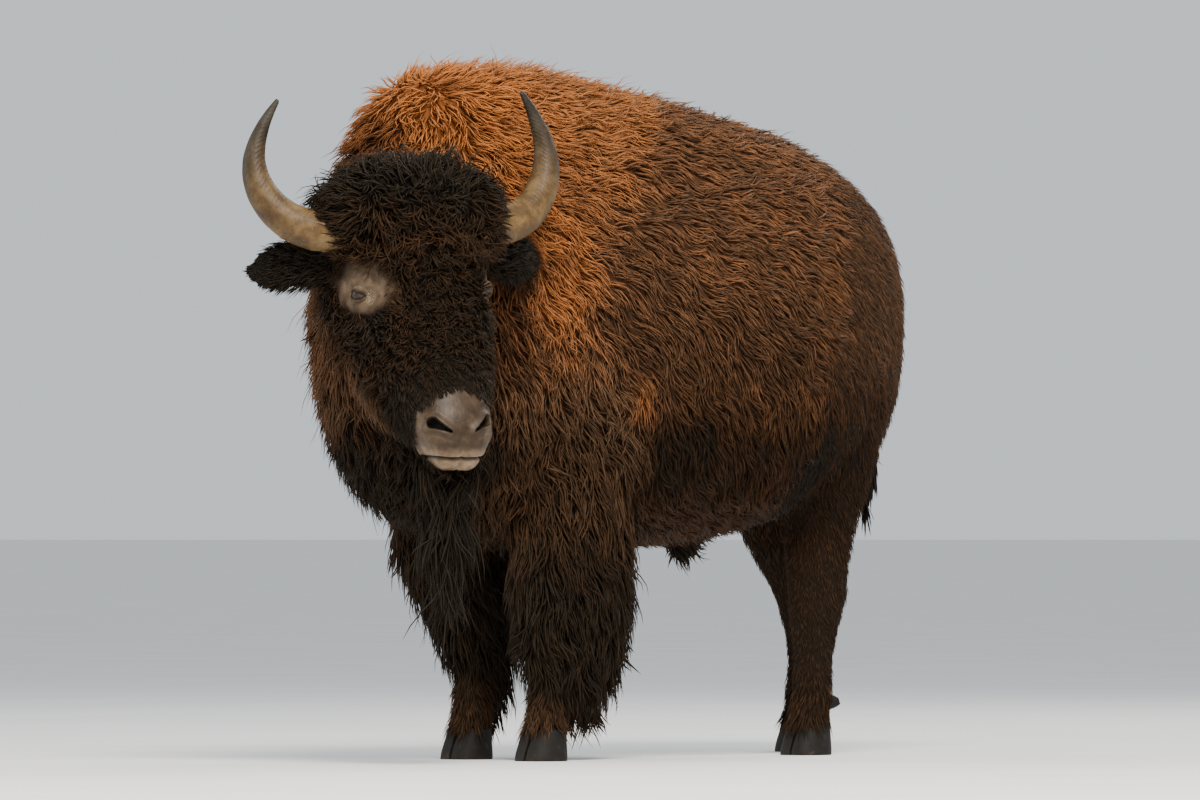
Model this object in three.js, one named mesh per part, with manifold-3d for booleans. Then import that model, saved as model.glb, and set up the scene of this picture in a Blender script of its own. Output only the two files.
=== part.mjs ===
// A standing American bison bull, life size, as a still museum model.
// Units are millimetres, +Z is up, and the animal's body faces -Y. Its left side is +X.
// Every piece of flesh is a loft: a smooth skin over a few named stations. The solids reach to the tips
// of the coat. Pieces that touch are cut by their neighbour, with a fine gap left between them.
import * as THREE from "three";
import { mergeVertices } from "three/addons/utils/BufferGeometryUtils.js";
import Module from "manifold-3d";

const wasm = await Module();
wasm.setup();

// ---------- Driving dimensions ----------
const GAP = 0.5; // between neighbouring solids
const CRUMB = 0.12; // slivers smaller than this are tidied off a cut solid
const HOOF_TOP = 78; // height of the coronet above the ground
const CLEFT = 7; // between the two claws of a foot
const KNEE_CUT = 440; // where a foreleg is parted at the knee
const HOCK_CUT = 520; // where a hind leg is parted above the hock
const NECK_CUT = -345; // where the neck is parted from the trunk
const HAM_CUT = { y: 830, z: 572, rise: 39 }; // the slanted cut from the flank up to the tail, in degrees

// The head's place: a point in the brow between the horns, its turn to the left, its nod and its roll.
const HEAD_AT = new THREE.Vector3(305, -677, 1242);
const HEAD_TURN = THREE.MathUtils.degToRad(62);
const HEAD_NOD = THREE.MathUtils.degToRad(50);
const HEAD_ROLL = THREE.MathUtils.degToRad(-2.5);

const COLOURS = {
  rust: 0x8a4a22,
  brown: 0x4a3020,
  black: 0x17120f,
  horn: 0x6f6453,
  hoof: 0x2a2420,
  eye: 0x120c08,
};

// ---------- Stations ----------
// The trunk, from the buttocks forward: y, the height of the back and of the belly, half the width,
// the height where it is widest, and how square the upper half of the section is (2 is an ellipse).
const TRUNK = [
  { y: 1474, top: 1270, bottom: 1040, half: 52, mid: 1160, square: 2.0 },
  { y: 1450, top: 1330, bottom: 900, half: 98, mid: 1140, square: 2.0 },
  { y: 1385, top: 1392, bottom: 760, half: 164, mid: 1120, square: 2.1 },
  { y: 1290, top: 1462, bottom: 690, half: 228, mid: 1100, square: 2.2 },
  { y: 1160, top: 1526, bottom: 640, half: 298, mid: 1070, square: 2.1 },
  { y: 990, top: 1584, bottom: 600, half: 362, mid: 1035, square: 2.0 },
  { y: 770, top: 1630, bottom: 555, half: 412, mid: 1010, square: 1.95 },
  { y: 520, top: 1672, bottom: 530, half: 426, mid: 1000, square: 1.9 },
  { y: 270, top: 1717, bottom: 525, half: 398, mid: 1010, square: 1.85 },
  { y: 30, top: 1748, bottom: 535, half: 355, mid: 1020, square: 1.9 },
  { y: -180, top: 1744, bottom: 560, half: 318, mid: 1040, square: 2.1 },
  { y: -330, top: 1728, bottom: 600, half: 290, mid: 1090, square: 2.4 },
  { y: -440, top: 1656, bottom: 680, half: 230, mid: 1130, square: 2.4 },
  { y: -510, top: 1500, bottom: 820, half: 130, mid: 1150, square: 2.2 },
];

// The neck, from inside the shoulders to inside the skull: the centre of each upright section in plan.
const NECK = [
  { x: 0, y: -120, top: 1640, bottom: 600, half: 285, mid: 1090, square: 2.0 },
  { x: 0, y: -300, top: 1620, bottom: 580, half: 292, mid: 1090, square: 2.0 },
  { x: 40, y: -450, top: 1556, bottom: 606, half: 228, mid: 1090, square: 2.1 },
  { x: 120, y: -570, top: 1484, bottom: 724, half: 204, mid: 1110, square: 2.2 },
  { x: 205, y: -640, top: 1420, bottom: 850, half: 192, mid: 1130, square: 2.2 },
  { x: 290, y: -690, top: 1350, bottom: 960, half: 140, mid: 1150, square: 2.0 },
];

// The head in its own frame, muzzle towards -Y and brow towards +Z, from the nape to the lips.
const HEAD = [
  { y: 165, top: -20, bottom: -215, half: 105, mid: -120, square: 2.2 },
  { y: 110, top: 62, bottom: -300, half: 185, mid: -150, square: 2.0 },
  { y: 20, top: 78, bottom: -352, half: 216, mid: -165, square: 1.9 },
  { y: -90, top: 50, bottom: -362, half: 206, mid: -175, square: 1.85 },
  { y: -200, top: 8, bottom: -345, half: 178, mid: -180, square: 2.0 },
  { y: -305, top: -35, bottom: -312, half: 143, mid: -180, square: 2.2 },
  { y: -390, top: -62, bottom: -285, half: 112, mid: -178, square: 2.3 },
  { y: -455, top: -80, bottom: -272, half: 102, mid: -178, square: 2.5 },
  { y: -500, top: -110, bottom: -258, half: 88, mid: -184, square: 2.6 },
  { y: -518, top: -145, bottom: -236, half: 58, mid: -190, square: 2.4 },
];

// Legs, from inside the body down to the coronet: height, the centre's distance from the midline, its place
// along the body, and half the width across and along.
const FORELEG = [
  { z: 1010, x: 190, y: 20, across: 120, along: 190 },
  { z: 860, x: 196, y: 30, across: 126, along: 176 },
  { z: 740, x: 186, y: 34, across: 112, along: 142 },
  { z: 620, x: 172, y: 26, across: 86, along: 104 },
  { z: 520, x: 162, y: 14, across: 66, along: 78 },
  { z: 440, x: 157, y: 4, across: 62, along: 68 },
  { z: 370, x: 154, y: 4, across: 53, along: 58 },
  { z: 270, x: 152, y: 6, across: 46, along: 50 },
  { z: 170, x: 151, y: 6, across: 52, along: 56 },
  { z: 115, x: 150, y: -4, across: 50, along: 50 },
  { z: 78, x: 150, y: -14, across: 56, along: 58 },
];
// The left hind leg stands forward and the right one back, so each has stations of its own.
const HINDLEG_LEFT = [
  { z: 1300, x: 84, y: 1140, across: 60, along: 100 },
  { z: 1220, x: 108, y: 1122, across: 128, along: 190 },
  { z: 1080, x: 138, y: 1096, across: 156, along: 222 },
  { z: 930, x: 152, y: 1066, across: 142, along: 212 },
  { z: 800, x: 158, y: 1060, across: 122, along: 186 },
  { z: 690, x: 160, y: 1054, across: 102, along: 150 },
  { z: 600, x: 158, y: 1050, across: 83, along: 120 },
  { z: 500, x: 156, y: 1034, across: 70, along: 100 },
  { z: 400, x: 154, y: 1038, across: 64, along: 96 },
  { z: 316, x: 153, y: 1026, across: 55, along: 76 },
  { z: 240, x: 152, y: 1022, across: 49, along: 60 },
  { z: 165, x: 151, y: 1020, across: 52, along: 58 },
  { z: 115, x: 150, y: 1012, across: 50, along: 51 },
  { z: 78, x: 150, y: 1004, across: 56, along: 60 },
];
const HINDLEG_RIGHT = [
  { z: 1300, x: 84, y: 1160, across: 60, along: 100 },
  { z: 1220, x: 108, y: 1160, across: 128, along: 196 },
  { z: 1080, x: 140, y: 1160, across: 160, along: 236 },
  { z: 930, x: 156, y: 1160, across: 150, along: 238 },
  { z: 800, x: 165, y: 1175, across: 128, along: 222 },
  { z: 690, x: 165, y: 1205, across: 106, along: 186 },
  { z: 600, x: 162, y: 1245, across: 86, along: 142 },
  { z: 500, x: 158, y: 1300, across: 72, along: 112 },
  { z: 400, x: 155, y: 1352, across: 62, along: 84 },
  { z: 316, x: 153, y: 1364, across: 52, along: 62 },
  { z: 240, x: 152, y: 1366, across: 47, along: 52 },
  { z: 165, x: 151, y: 1366, across: 52, along: 56 },
  { z: 115, x: 150, y: 1358, across: 50, along: 51 },
  { z: 78, x: 150, y: 1350, across: 56, along: 60 },
];
// How far each fore foot stands ahead of (-) or behind (+) the square stance, and the height where
// that begins.
const STEP = { left: -24, right: 42 };
const STEP_FROM = 900;

// The long hair of the forelegs, which hangs round the forearm and behind the shin.
const CHAPS_LEFT = [
  { z: 800, x: 188, y: 34, across: 124, along: 176 },
  { z: 660, x: 186, y: 30, across: 132, along: 196 },
  { z: 520, x: 178, y: 34, across: 128, along: 210 },
  { z: 400, x: 168, y: 46, across: 120, along: 216 },
  { z: 300, x: 160, y: 60, across: 106, along: 200 },
  { z: 200, x: 156, y: 64, across: 84, along: 172 },
  { z: 130, x: 157, y: 96, across: 52, along: 98 },
  { z: 82, x: 156, y: 102, across: 20, along: 36 },
];
const CHAPS_RIGHT = [
  { z: 800, x: 190, y: 20, across: 124, along: 176 },
  { z: 660, x: 200, y: 18, across: 132, along: 192 },
  { z: 520, x: 198, y: 20, across: 132, along: 200 },
  { z: 400, x: 180, y: 46, across: 114, along: 170 },
  { z: 300, x: 166, y: 72, across: 88, along: 140 },
  { z: 200, x: 156, y: 98, across: 66, along: 108 },
  { z: 130, x: 156, y: 108, across: 44, along: 78 },
  { z: 82, x: 155, y: 110, across: 20, along: 34 },
];

// The beard below the jaw, in the head's turned but level frame: forward distance y, from the throat down.
const BEARD = [
  { z: -250, x: 0, y: 0, across: 105, along: 120 },
  { z: -400, x: 0, y: -45, across: 100, along: 118 },
  { z: -520, x: 0, y: -72, across: 88, along: 104 },
  { z: -640, x: 0, y: -78, across: 68, along: 80 },
  { z: -740, x: 0, y: -76, across: 44, along: 52 },
  { z: -815, x: 0, y: -72, across: 16, along: 20 },
];

// The mop of long hair over the poll, in the same level frame.
const MOP = [
  { z: 30, x: 0, y: 50, across: 180, along: 110 },
  { z: 90, x: -16, y: 48, across: 244, along: 136 },
  { z: 155, x: -18, y: 54, across: 234, along: 138 },
  { z: 210, x: -12, y: 58, across: 186, along: 112 },
  { z: 245, x: -8, y: 62, across: 110, along: 66 },
  { z: 256, x: -8, y: 66, across: 42, along: 26 },
];

// The left horn's centreline and radius in the level frame, and the ear's.
const HORN = [
  { x: 150, y: 30, z: 70, r: 55 },
  { x: 236, y: 52, z: 66, r: 53 },
  { x: 316, y: 80, z: 96, r: 47 },
  { x: 370, y: 106, z: 166, r: 39 },
  { x: 382, y: 120, z: 250, r: 28 },
  { x: 352, y: 116, z: 335, r: 15 },
  { x: 318, y: 104, z: 390, r: 5 },
];
const EAR = [
  { x: 150, y: 82, z: -22, wide: 32, thick: 24 },
  { x: 215, y: 108, z: -17, wide: 47, thick: 22 },
  { x: 275, y: 138, z: -13, wide: 60, thick: 20 },
  { x: 335, y: 172, z: -20, wide: 52, thick: 17 },
  { x: 378, y: 202, z: -32, wide: 20, thick: 9 },
];
const EYE = { x: 172, y: -76, z: -62, r: 20 }; // in the head's own frame

const TAIL = [
  { x: 0, y: 1395, z: 1310, r: 50 },
  { x: 0, y: 1458, z: 1255, r: 42 },
  { x: 0, y: 1490, z: 1150, r: 31 },
  { x: 0, y: 1486, z: 1010, r: 25 },
  { x: 0, y: 1468, z: 880, r: 24 },
];
const TAIL_TUFT = [
  { x: 0, y: 1468, z: 880, r: 27 },
  { x: 0, y: 1455, z: 810, r: 40 },
  { x: 0, y: 1438, z: 730, r: 40 },
  { x: 0, y: 1424, z: 655, r: 27 },
  { x: 0, y: 1418, z: 610, r: 8 },
];
const SHEATH = [
  { z: 640, x: 0, y: 690, across: 58, along: 90 },
  { z: 560, x: 0, y: 690, across: 50, along: 74 },
  { z: 515, x: 0, y: 686, across: 40, along: 54 },
  { z: 480, x: 0, y: 682, across: 18, along: 26 },
];

// ---------- Lofting ----------
const TOP = new THREE.Vector3(0, 0, 1);
const FRONT = new THREE.Vector3(0, -1, 0);

// Values between the stations, on a smooth curve through all of them. at runs from 0 to the last station.
function between(stations, at) {
  const i = Math.min(Math.floor(at), stations.length - 2);
  const t = at - i;
  const pick = (k) => stations[Math.max(0, Math.min(k, stations.length - 1))];
  const blend = {};
  for (const key of Object.keys(stations[0])) {
    const [a, b, c, d] = [i - 1, i, i + 1, i + 2].map((k) => pick(k)[key]);
    const pull = 2 * b + (c - a) * t + (2 * a - 5 * b + 4 * c - d) * t * t;
    blend[key] = 0.5 * (pull + (3 * b - a - 3 * c + d) * t * t * t);
  }
  return blend;
}

function sample(stations, steps) {
  const list = [];
  const last = (stations.length - 1) * steps;
  for (let i = 0; i <= last; i++) list.push(between(stations, i / steps));
  return list;
}

// A closed solid over rings of equal count, with a fan on each end. It is turned to face out.
function loft(rings) {
  const count = rings[0].length;
  const middle = (ring) =>
    ring.reduce((sum, p) => sum.add(p), new THREE.Vector3()).divideScalar(count);
  const points = [...rings.flat(), middle(rings[0]), middle(rings.at(-1))];
  const first = rings.length * count;
  const faces = [];
  for (let i = 0; i < count; i++) {
    const next = (i + 1) % count;
    for (let r = 0; r + 1 < rings.length; r++) {
      const [a, b] = [r * count + i, r * count + next];
      faces.push(a, b, b + count, a, b + count, a + count);
    }
    faces.push(first, next, i);
    const end = (rings.length - 1) * count;
    faces.push(first + 1, end + i, end + next);
  }
  const vertProperties = new Float32Array(points.flatMap((p) => p.toArray()));
  const solid = (triVerts) =>
    new wasm.Manifold(new wasm.Mesh({ numProp: 3, vertProperties, triVerts }));
  const made = solid(new Uint32Array(faces));
  return made.volume() > 0 ? made : solid(new Uint32Array(faces.reverse()));
}

// -1 for the first of a row of things, 1 for the last and 0 between.
const endOf = (i, count) => (i === 0 ? -1 : i === count - 1 ? 1 : 0);

const power = (value, n) => Math.sign(value) * Math.abs(value) ** (2 / n);

// An upright section: squarer or rounder above its widest height, round below.
function uprightRing(s, right, sides, grow) {
  const ring = [];
  for (let i = 0; i < sides; i++) {
    const a = (i / sides) * 2 * Math.PI;
    const up = Math.sin(a);
    const reach = (s.half + grow) * power(Math.cos(a), up > 0 ? s.square : 2.2);
    const rise =
      up > 0
        ? (s.top - s.mid + grow) * power(up, s.square)
        : (s.mid - s.bottom + grow) * power(up, 2.2);
    ring.push(new THREE.Vector3(s.x ?? 0, s.y, s.mid + rise).addScaledVector(right, reach));
  }
  return ring;
}

function bodyLoft(stations, steps, sides, grow = 0) {
  const rows = sample(stations, steps);
  return loft(
    rows.map((s, i) => {
      const before = rows[Math.max(0, i - 1)];
      const after = rows[Math.min(rows.length - 1, i + 1)];
      const way = new THREE.Vector3((after.x ?? 0) - (before.x ?? 0), after.y - before.y, 0);
      const right = way.normalize().clone().cross(TOP);
      const longer = grow * endOf(i, rows.length);
      return uprightRing(s, right, sides, grow).map((p) => p.addScaledVector(way, longer));
    }),
  );
}

// A loft of level ovals, for what stands or hangs. side is 1 for left and -1 for right.
function levelLoft(stations, steps, sides, { side = 1, grow = 0, shift = () => 0 } = {}) {
  const longer = grow * Math.sign(stations.at(-1).z - stations[0].z);
  return loft(
    sample(stations, steps).map((s, row, rows) => {
      const ring = [];
      for (let i = 0; i < sides; i++) {
        const a = (i / sides) * 2 * Math.PI;
        ring.push(
          new THREE.Vector3(
            side * s.x + (s.across + grow) * power(Math.cos(a), 2.2),
            s.y + shift(s.z) + (s.along + grow) * power(Math.sin(a), 2.2),
            s.z + longer * endOf(row, rows.length),
          ),
        );
      }
      return ring;
    }),
  );
}

// A loft along a bent line, its sections square to it. wide and thick default to the radius r.
// up is a direction the line never runs along.
function bentLoft(stations, steps, sides, { side = 1, up = TOP } = {}) {
  const rows = sample(stations, steps);
  return loft(
    rows.map((s, i) => {
      const [a, b] = [rows[Math.max(0, i - 1)], rows[Math.min(rows.length - 1, i + 1)]];
      const way = new THREE.Vector3(side * (b.x - a.x), b.y - a.y, b.z - a.z).normalize();
      const across = new THREE.Vector3().crossVectors(way, up).normalize();
      const over = new THREE.Vector3().crossVectors(across, way);
      const ring = [];
      for (let k = 0; k < sides; k++) {
        const turn = (k / sides) * 2 * Math.PI;
        ring.push(
          new THREE.Vector3(side * s.x, s.y, s.z)
            .addScaledVector(across, (s.thick ?? s.r) * Math.cos(turn))
            .addScaledVector(over, (s.wide ?? s.r) * Math.sin(turn)),
        );
      }
      return ring;
    }),
  );
}

// ---------- Solids and meshes ----------
function fromGeometry(geometry) {
  geometry.deleteAttribute("normal");
  geometry.deleteAttribute("uv");
  const merged = mergeVertices(geometry);
  return new wasm.Manifold(
    new wasm.Mesh({
      numProp: 3,
      vertProperties: merged.attributes.position.array,
      triVerts: new Uint32Array(merged.index.array),
    }),
  );
}

function placed(solid, matrix) {
  return solid.transform([...matrix.elements]);
}

// The largest body of a cut, without the crumbs.
function main(solid) {
  return solid.decompose().reduce((a, b) => (a.volume() > b.volume() ? a : b));
}

// A huge block whose +Z face passes through a point, tipped about X by an angle in degrees.
const HUGE = 5000;
function block(y, z, tip = 0) {
  const box = new THREE.BoxGeometry(HUGE, HUGE, HUGE).translate(0, 0, -HUGE / 2);
  return fromGeometry(box.rotateX(THREE.MathUtils.degToRad(tip)).translate(0, y, z));
}
const below = (height) => block(0, height);
const above = (height) => block(0, height, 180);
const ahead = (y) => block(y, 0, -90);
const behind = (y) => block(y, 0, 90);
const hamSide = (lift) => block(HAM_CUT.y, HAM_CUT.z + lift, HAM_CUT.rise);

const bison = new THREE.Group();
function add(name, colour, roughness, solid) {
  const { vertProperties, triVerts } = solid.simplify(CRUMB).getMesh();
  const geometry = new THREE.BufferGeometry();
  geometry.setAttribute("position", new THREE.BufferAttribute(vertProperties, 3));
  geometry.setIndex(new THREE.BufferAttribute(triVerts, 1));
  geometry.computeVertexNormals();
  const material = new THREE.MeshStandardMaterial({ color: colour, roughness, metalness: 0 });
  const mesh = new THREE.Mesh(geometry, material);
  mesh.name = name;
  bison.add(mesh);
}

// ---------- Frames of the head ----------
// level turns with the head but stays upright; inHead nods and rolls with it too.
const level = new THREE.Matrix4()
  .makeRotationZ(HEAD_TURN)
  .multiply(new THREE.Matrix4().makeRotationY(HEAD_ROLL))
  .setPosition(HEAD_AT);
const inHead = level.clone().multiply(new THREE.Matrix4().makeRotationX(HEAD_NOD));

// ---------- Body ----------
const skull = (grow = 0) => placed(bodyLoft(HEAD, 2, 20, grow), inHead);
const mop = (grow = 0) => placed(levelLoft(MOP, 1, 16, { grow }), level);

// The trunk and the neck in one, before they are parted.
function torso(grow = 0) {
  return bodyLoft(TRUNK, 2, 24, grow).add(bodyLoft(NECK, 2, 18, grow));
}

// The stations of one leg, and how far its heights are stepped along the body.
function legPlan(end, side) {
  if (end === "hind") return { stations: side > 0 ? HINDLEG_LEFT : HINDLEG_RIGHT, shift: () => 0 };
  const step = side > 0 ? STEP.left : STEP.right;
  const shift = (z) => step * THREE.MathUtils.smoothstep(STEP_FROM - z, 0, STEP_FROM - HOOF_TOP);
  return { stations: FORELEG, shift };
}

// One whole leg, before it is parted, not yet cut clear of the trunk.
function leg(end, side, grow = 0) {
  const { stations, shift } = legPlan(end, side);
  return levelLoft(stations, 1, 14, { side, grow, shift });
}

// One claw of a cloven hoof: a D in plan, with its flat side to the cleft, wider at the ground than at
// the top.
function claw(inner) {
  const sole = { z: 0, wide: 60, front: 74, back: 50 };
  const crown = { z: HOOF_TOP - GAP, wide: 50, front: 40, back: 54 };
  const sides = 11;
  const ring = (s) => {
    const points = [];
    for (let i = 0; i <= sides; i++) {
      const a = (i / sides) * Math.PI - Math.PI / 2;
      const along = Math.sin(a) < 0 ? s.front : s.back;
      const across = s.wide * Math.cos(a) ** 0.75;
      points.push(new THREE.Vector3(inner * (CLEFT / 2 + across), along * Math.sin(a), s.z));
    }
    return points;
  };
  const waist = { z: 20, wide: 59, front: 70, back: 51 };
  return loft([ring(sole), ring(waist), ring(crown)]);
}

// The torso with both hind legs on, before the hams are parted from it.
function rear(grow = 0) {
  return torso(grow).add(leg("hind", 1, grow)).add(leg("hind", -1, grow));
}

function buildLegs() {
  const body = torso(GAP);
  const hams = rear().intersect(hamSide(0)).subtract(midGap());
  for (const end of ["fore", "hind"]) {
    for (const side of [1, -1]) {
      const name = `${end}_${side > 0 ? "left" : "right"}`;
      const whole =
        end === "fore" ? main(leg(end, side).subtract(body)) : main(hams.intersect(sideOf(side)));
      const cut = end === "fore" ? KNEE_CUT : HOCK_CUT;
      const [upper, lower] = end === "fore" ? ["forearm", "shin"] : ["thigh", "shank"];
      add(`${upper}_${name}`, COLOURS.black, 0.9, main(whole.intersect(above(cut + GAP))));
      add(`${lower}_${name}`, COLOURS.black, 0.9, main(whole.intersect(below(cut))));
      buildFoot(end, side, name);
    }
  }
}

function footOf(end, side) {
  const { stations, shift } = legPlan(end, side);
  const last = stations.at(-1);
  return new THREE.Vector3(side * last.x, last.y + shift(last.z), 0);
}

// The two dew claws of a foot, short blunt cones behind the fetlock: the inner one first.
function dewClaws(end, side, grow = 0) {
  const foot = footOf(end, side);
  return [-side, side].map((s) => {
    const cone = new THREE.CylinderGeometry(9 + grow, 17 + grow, 40 + 2 * grow, 6);
    cone.rotateX(THREE.MathUtils.degToRad(205));
    return fromGeometry(cone.translate(foot.x + s * 24, foot.y + 62, 128));
  });
}

function buildFoot(end, side, name) {
  const dews = dewClaws(end, side);
  [-side, side].forEach((s, i) => {
    const which = s === side ? "outer" : "inner";
    add(`hoof_${name}_${which}`, COLOURS.hoof, 0.5, claw(s).translate(footOf(end, side).toArray()));
    add(`dewclaw_${name}_${which}`, COLOURS.hoof, 0.6, main(dews[i].subtract(leg(end, side, GAP))));
  });
}

function buildChaps() {
  for (const side of [1, -1]) {
    const name = side > 0 ? "left" : "right";
    const hair = levelLoft(side > 0 ? CHAPS_LEFT : CHAPS_RIGHT, 1, 14, { side });
    const clear = dewClaws("fore", side, GAP).reduce((a, b) => a.subtract(b), hair);
    const loose = clear.subtract(torso(GAP)).subtract(leg("fore", side, GAP));
    add(`chaps_${name}`, COLOURS.black, 1, main(loose.subtract(midGap())));
  }
}

// The strip down the midline that keeps left and right apart, and the two sides of it.
function midGap() {
  return fromGeometry(new THREE.BoxGeometry(GAP, HUGE, HUGE));
}
function sideOf(side) {
  return fromGeometry(new THREE.BoxGeometry(HUGE, HUGE, HUGE).translate((side * HUGE) / 2, 0, 0));
}

function buildHead() {
  const eyeball = (side, r) => {
    const sphere = new THREE.SphereGeometry(r, 10, 7).translate(side * EYE.x, EYE.y, EYE.z);
    return placed(fromGeometry(sphere), inHead);
  };
  let head = skull();
  const clearOfHead = (solid) => main(solid.subtract(skull(GAP)).subtract(torso(GAP)));
  for (const side of [1, -1]) {
    const name = side > 0 ? "left" : "right";
    head = head.subtract(eyeball(side, EYE.r + GAP));
    add(`eye_${name}`, COLOURS.eye, 0.1, eyeball(side, EYE.r));
    const horn = placed(bentLoft(HORN, 2, 10, { side, up: FRONT }), level);
    add(`horn_${name}`, COLOURS.horn, 0.45, main(clearOfHead(horn).subtract(mop(GAP))));
    const ear = placed(bentLoft(EAR, 2, 8, { side }), level);
    add(`ear_${name}`, COLOURS.black, 0.95, main(clearOfHead(ear).subtract(mop(GAP))));
  }
  add("head", COLOURS.black, 0.95, main(head));
  add("forelock", COLOURS.black, 1, clearOfHead(mop()));
  add("beard", COLOURS.black, 1, clearOfHead(placed(levelLoft(BEARD, 1, 14), level)));
}

function buildTrunk() {
  const trunk = rear().subtract(hamSide(GAP)).intersect(behind(NECK_CUT + GAP));
  add("trunk", COLOURS.brown, 0.95, main(trunk));
  const neck = torso().intersect(ahead(NECK_CUT)).subtract(skull(GAP));
  add("neck", COLOURS.rust, 0.95, main(neck));
  const sheath = levelLoft(SHEATH, 1, 12).subtract(torso(GAP));
  add("sheath", COLOURS.brown, 0.95, main(sheath));
  const clear = rear(GAP);
  const tail = bentLoft(TAIL, 2, 8, { up: FRONT }).subtract(clear);
  add("tail", COLOURS.brown, 0.95, main(tail));
  const tuft = bentLoft(TAIL_TUFT, 1, 10, { up: FRONT }).intersect(below(TAIL.at(-1).z - 6));
  add("tail_tuft", COLOURS.black, 1, main(tuft.subtract(clear)));
}

buildTrunk();
buildLegs();
buildChaps();
buildHead();

// The origin is the middle of the bounding box, on the ground.
const box = new THREE.Box3().setFromObject(bison, true);
const centre = box.getCenter(new THREE.Vector3());
for (const mesh of bison.children) mesh.geometry.translate(-centre.x, -centre.y, 0);

export default bison;
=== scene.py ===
"""A standing bison bull as a still, life-size museum model.

One skin in place of the flesh, a coat of modelled locks on it, horn sheaths, eyeballs and hooves.
"""

import heapq
import math

import bmesh
import bpy
import numpy as np
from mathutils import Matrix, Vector
from mathutils.bvhtree import BVHTree
from mathutils.kdtree import KDTree


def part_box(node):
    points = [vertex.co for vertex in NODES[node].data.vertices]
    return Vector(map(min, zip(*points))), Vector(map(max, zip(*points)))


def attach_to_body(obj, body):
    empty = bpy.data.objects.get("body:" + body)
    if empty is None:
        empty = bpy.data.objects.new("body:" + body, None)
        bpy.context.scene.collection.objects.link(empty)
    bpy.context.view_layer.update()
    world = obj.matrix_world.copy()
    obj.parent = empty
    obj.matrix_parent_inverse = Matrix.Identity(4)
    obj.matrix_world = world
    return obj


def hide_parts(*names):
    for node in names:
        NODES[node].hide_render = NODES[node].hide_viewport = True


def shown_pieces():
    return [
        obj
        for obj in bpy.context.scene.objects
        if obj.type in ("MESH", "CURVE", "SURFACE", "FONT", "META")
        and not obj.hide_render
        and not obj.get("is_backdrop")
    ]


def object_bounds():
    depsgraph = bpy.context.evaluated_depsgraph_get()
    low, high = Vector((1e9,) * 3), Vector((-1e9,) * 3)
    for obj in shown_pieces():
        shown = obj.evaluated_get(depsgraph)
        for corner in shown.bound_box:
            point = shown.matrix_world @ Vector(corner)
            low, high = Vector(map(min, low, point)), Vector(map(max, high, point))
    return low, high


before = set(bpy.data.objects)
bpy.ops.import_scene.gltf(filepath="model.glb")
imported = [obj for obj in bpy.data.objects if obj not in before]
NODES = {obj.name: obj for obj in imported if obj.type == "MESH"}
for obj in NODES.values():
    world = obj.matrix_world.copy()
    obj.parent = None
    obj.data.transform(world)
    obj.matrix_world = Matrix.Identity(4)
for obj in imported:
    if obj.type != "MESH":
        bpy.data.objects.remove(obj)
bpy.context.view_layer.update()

SIDES = ("left", "right")
SIGN = {"left": 1, "right": -1}
RNG = np.random.default_rng(1871)

# The nodes that the skin covers, and the masses of long hair that stand on it.
FLESH = ["trunk", "neck", "head", "sheath", "tail"]
LIMBS = ("ear", "forearm_fore", "shin_fore", "thigh_hind", "shank_hind")
FLESH += [f"{limb}_{side}" for side in SIDES for limb in LIMBS]
MASSES = ["forelock", "beard", "chaps_left", "chaps_right", "tail_tuft"]
EYES = ["eye_left", "eye_right"]
COVERED = FLESH + MASSES + EYES


# ---------------------------------------------------------------- camera


CAMERA_AT = (19.402, -23.093, 0.5925)
CAMERA_TURN = math.radians(40.0)
CAMERA_TILT = math.radians(90.58)
CAMERA_LENS, CAMERA_SENSOR = 361.5, 36.0  # millimetres


def add_camera():
    """A long lens, low over the ground, ahead of the bull and to its left."""
    data = bpy.data.cameras.new("camera")
    data.lens, data.sensor_width = CAMERA_LENS, CAMERA_SENSOR
    data.clip_start, data.clip_end = 0.5, 400.0
    camera = bpy.data.objects.new("camera", data)
    camera.location = CAMERA_AT
    camera.rotation_euler = (CAMERA_TILT, 0.0, CAMERA_TURN)
    bpy.context.scene.collection.objects.link(camera)
    bpy.context.scene.camera = camera


add_camera()


# ---------------------------------------------------------------- small helpers


def deselect():
    bpy.ops.object.select_all(action="DESELECT")


def activate(*pieces):
    """Selects these pieces alone and makes the last of them the active one."""
    deselect()
    for piece in pieces:
        piece.select_set(True)
    bpy.context.view_layer.objects.active = pieces[-1]


def link(piece):
    bpy.context.scene.collection.objects.link(piece)
    return piece


def apply_modifier(piece, kind, **settings):
    activate(piece)
    modifier = piece.modifiers.new(kind.title(), kind)
    for key, value in settings.items():
        setattr(modifier, key, value)
    bpy.ops.object.modifier_apply(modifier=modifier.name)


def copy_of(name, nodes, puff=0.0):
    """One new mesh from copies of CAD nodes, merged, with its surface puffed out a little."""
    first, *others = [link(bpy.data.objects.new(name, NODES[node].data.copy())) for node in nodes]
    activate(*others, first)
    if others:
        bpy.ops.object.join()
    piece = bpy.context.view_layer.objects.active
    piece.name = name
    piece.data.materials.clear()
    bpy.ops.object.mode_set(mode="EDIT")
    bpy.ops.mesh.select_all(action="SELECT")
    bpy.ops.mesh.remove_doubles(threshold=1e-5)
    if puff:
        bpy.ops.transform.shrink_fatten(value=-puff)
    bpy.ops.object.mode_set(mode="OBJECT")
    return piece


def rows(items, key, width, kind=np.float32):
    """One value of every item of a mesh, a row for each."""
    flat = np.empty(len(items) * width, kind)
    items.foreach_get(key, flat)
    return flat.reshape(-1, width)


def points_of(mesh):
    return rows(mesh.vertices, "co", 3).astype(float)


def normals_of(mesh):
    return rows(mesh.vertex_normals, "vector", 3).astype(float)


def edges_of(mesh):
    return rows(mesh.edges, "vertices", 2, np.int32)


def move_points(mesh, points):
    mesh.vertices.foreach_set("co", points.astype(np.float32).ravel())
    mesh.update()


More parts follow.
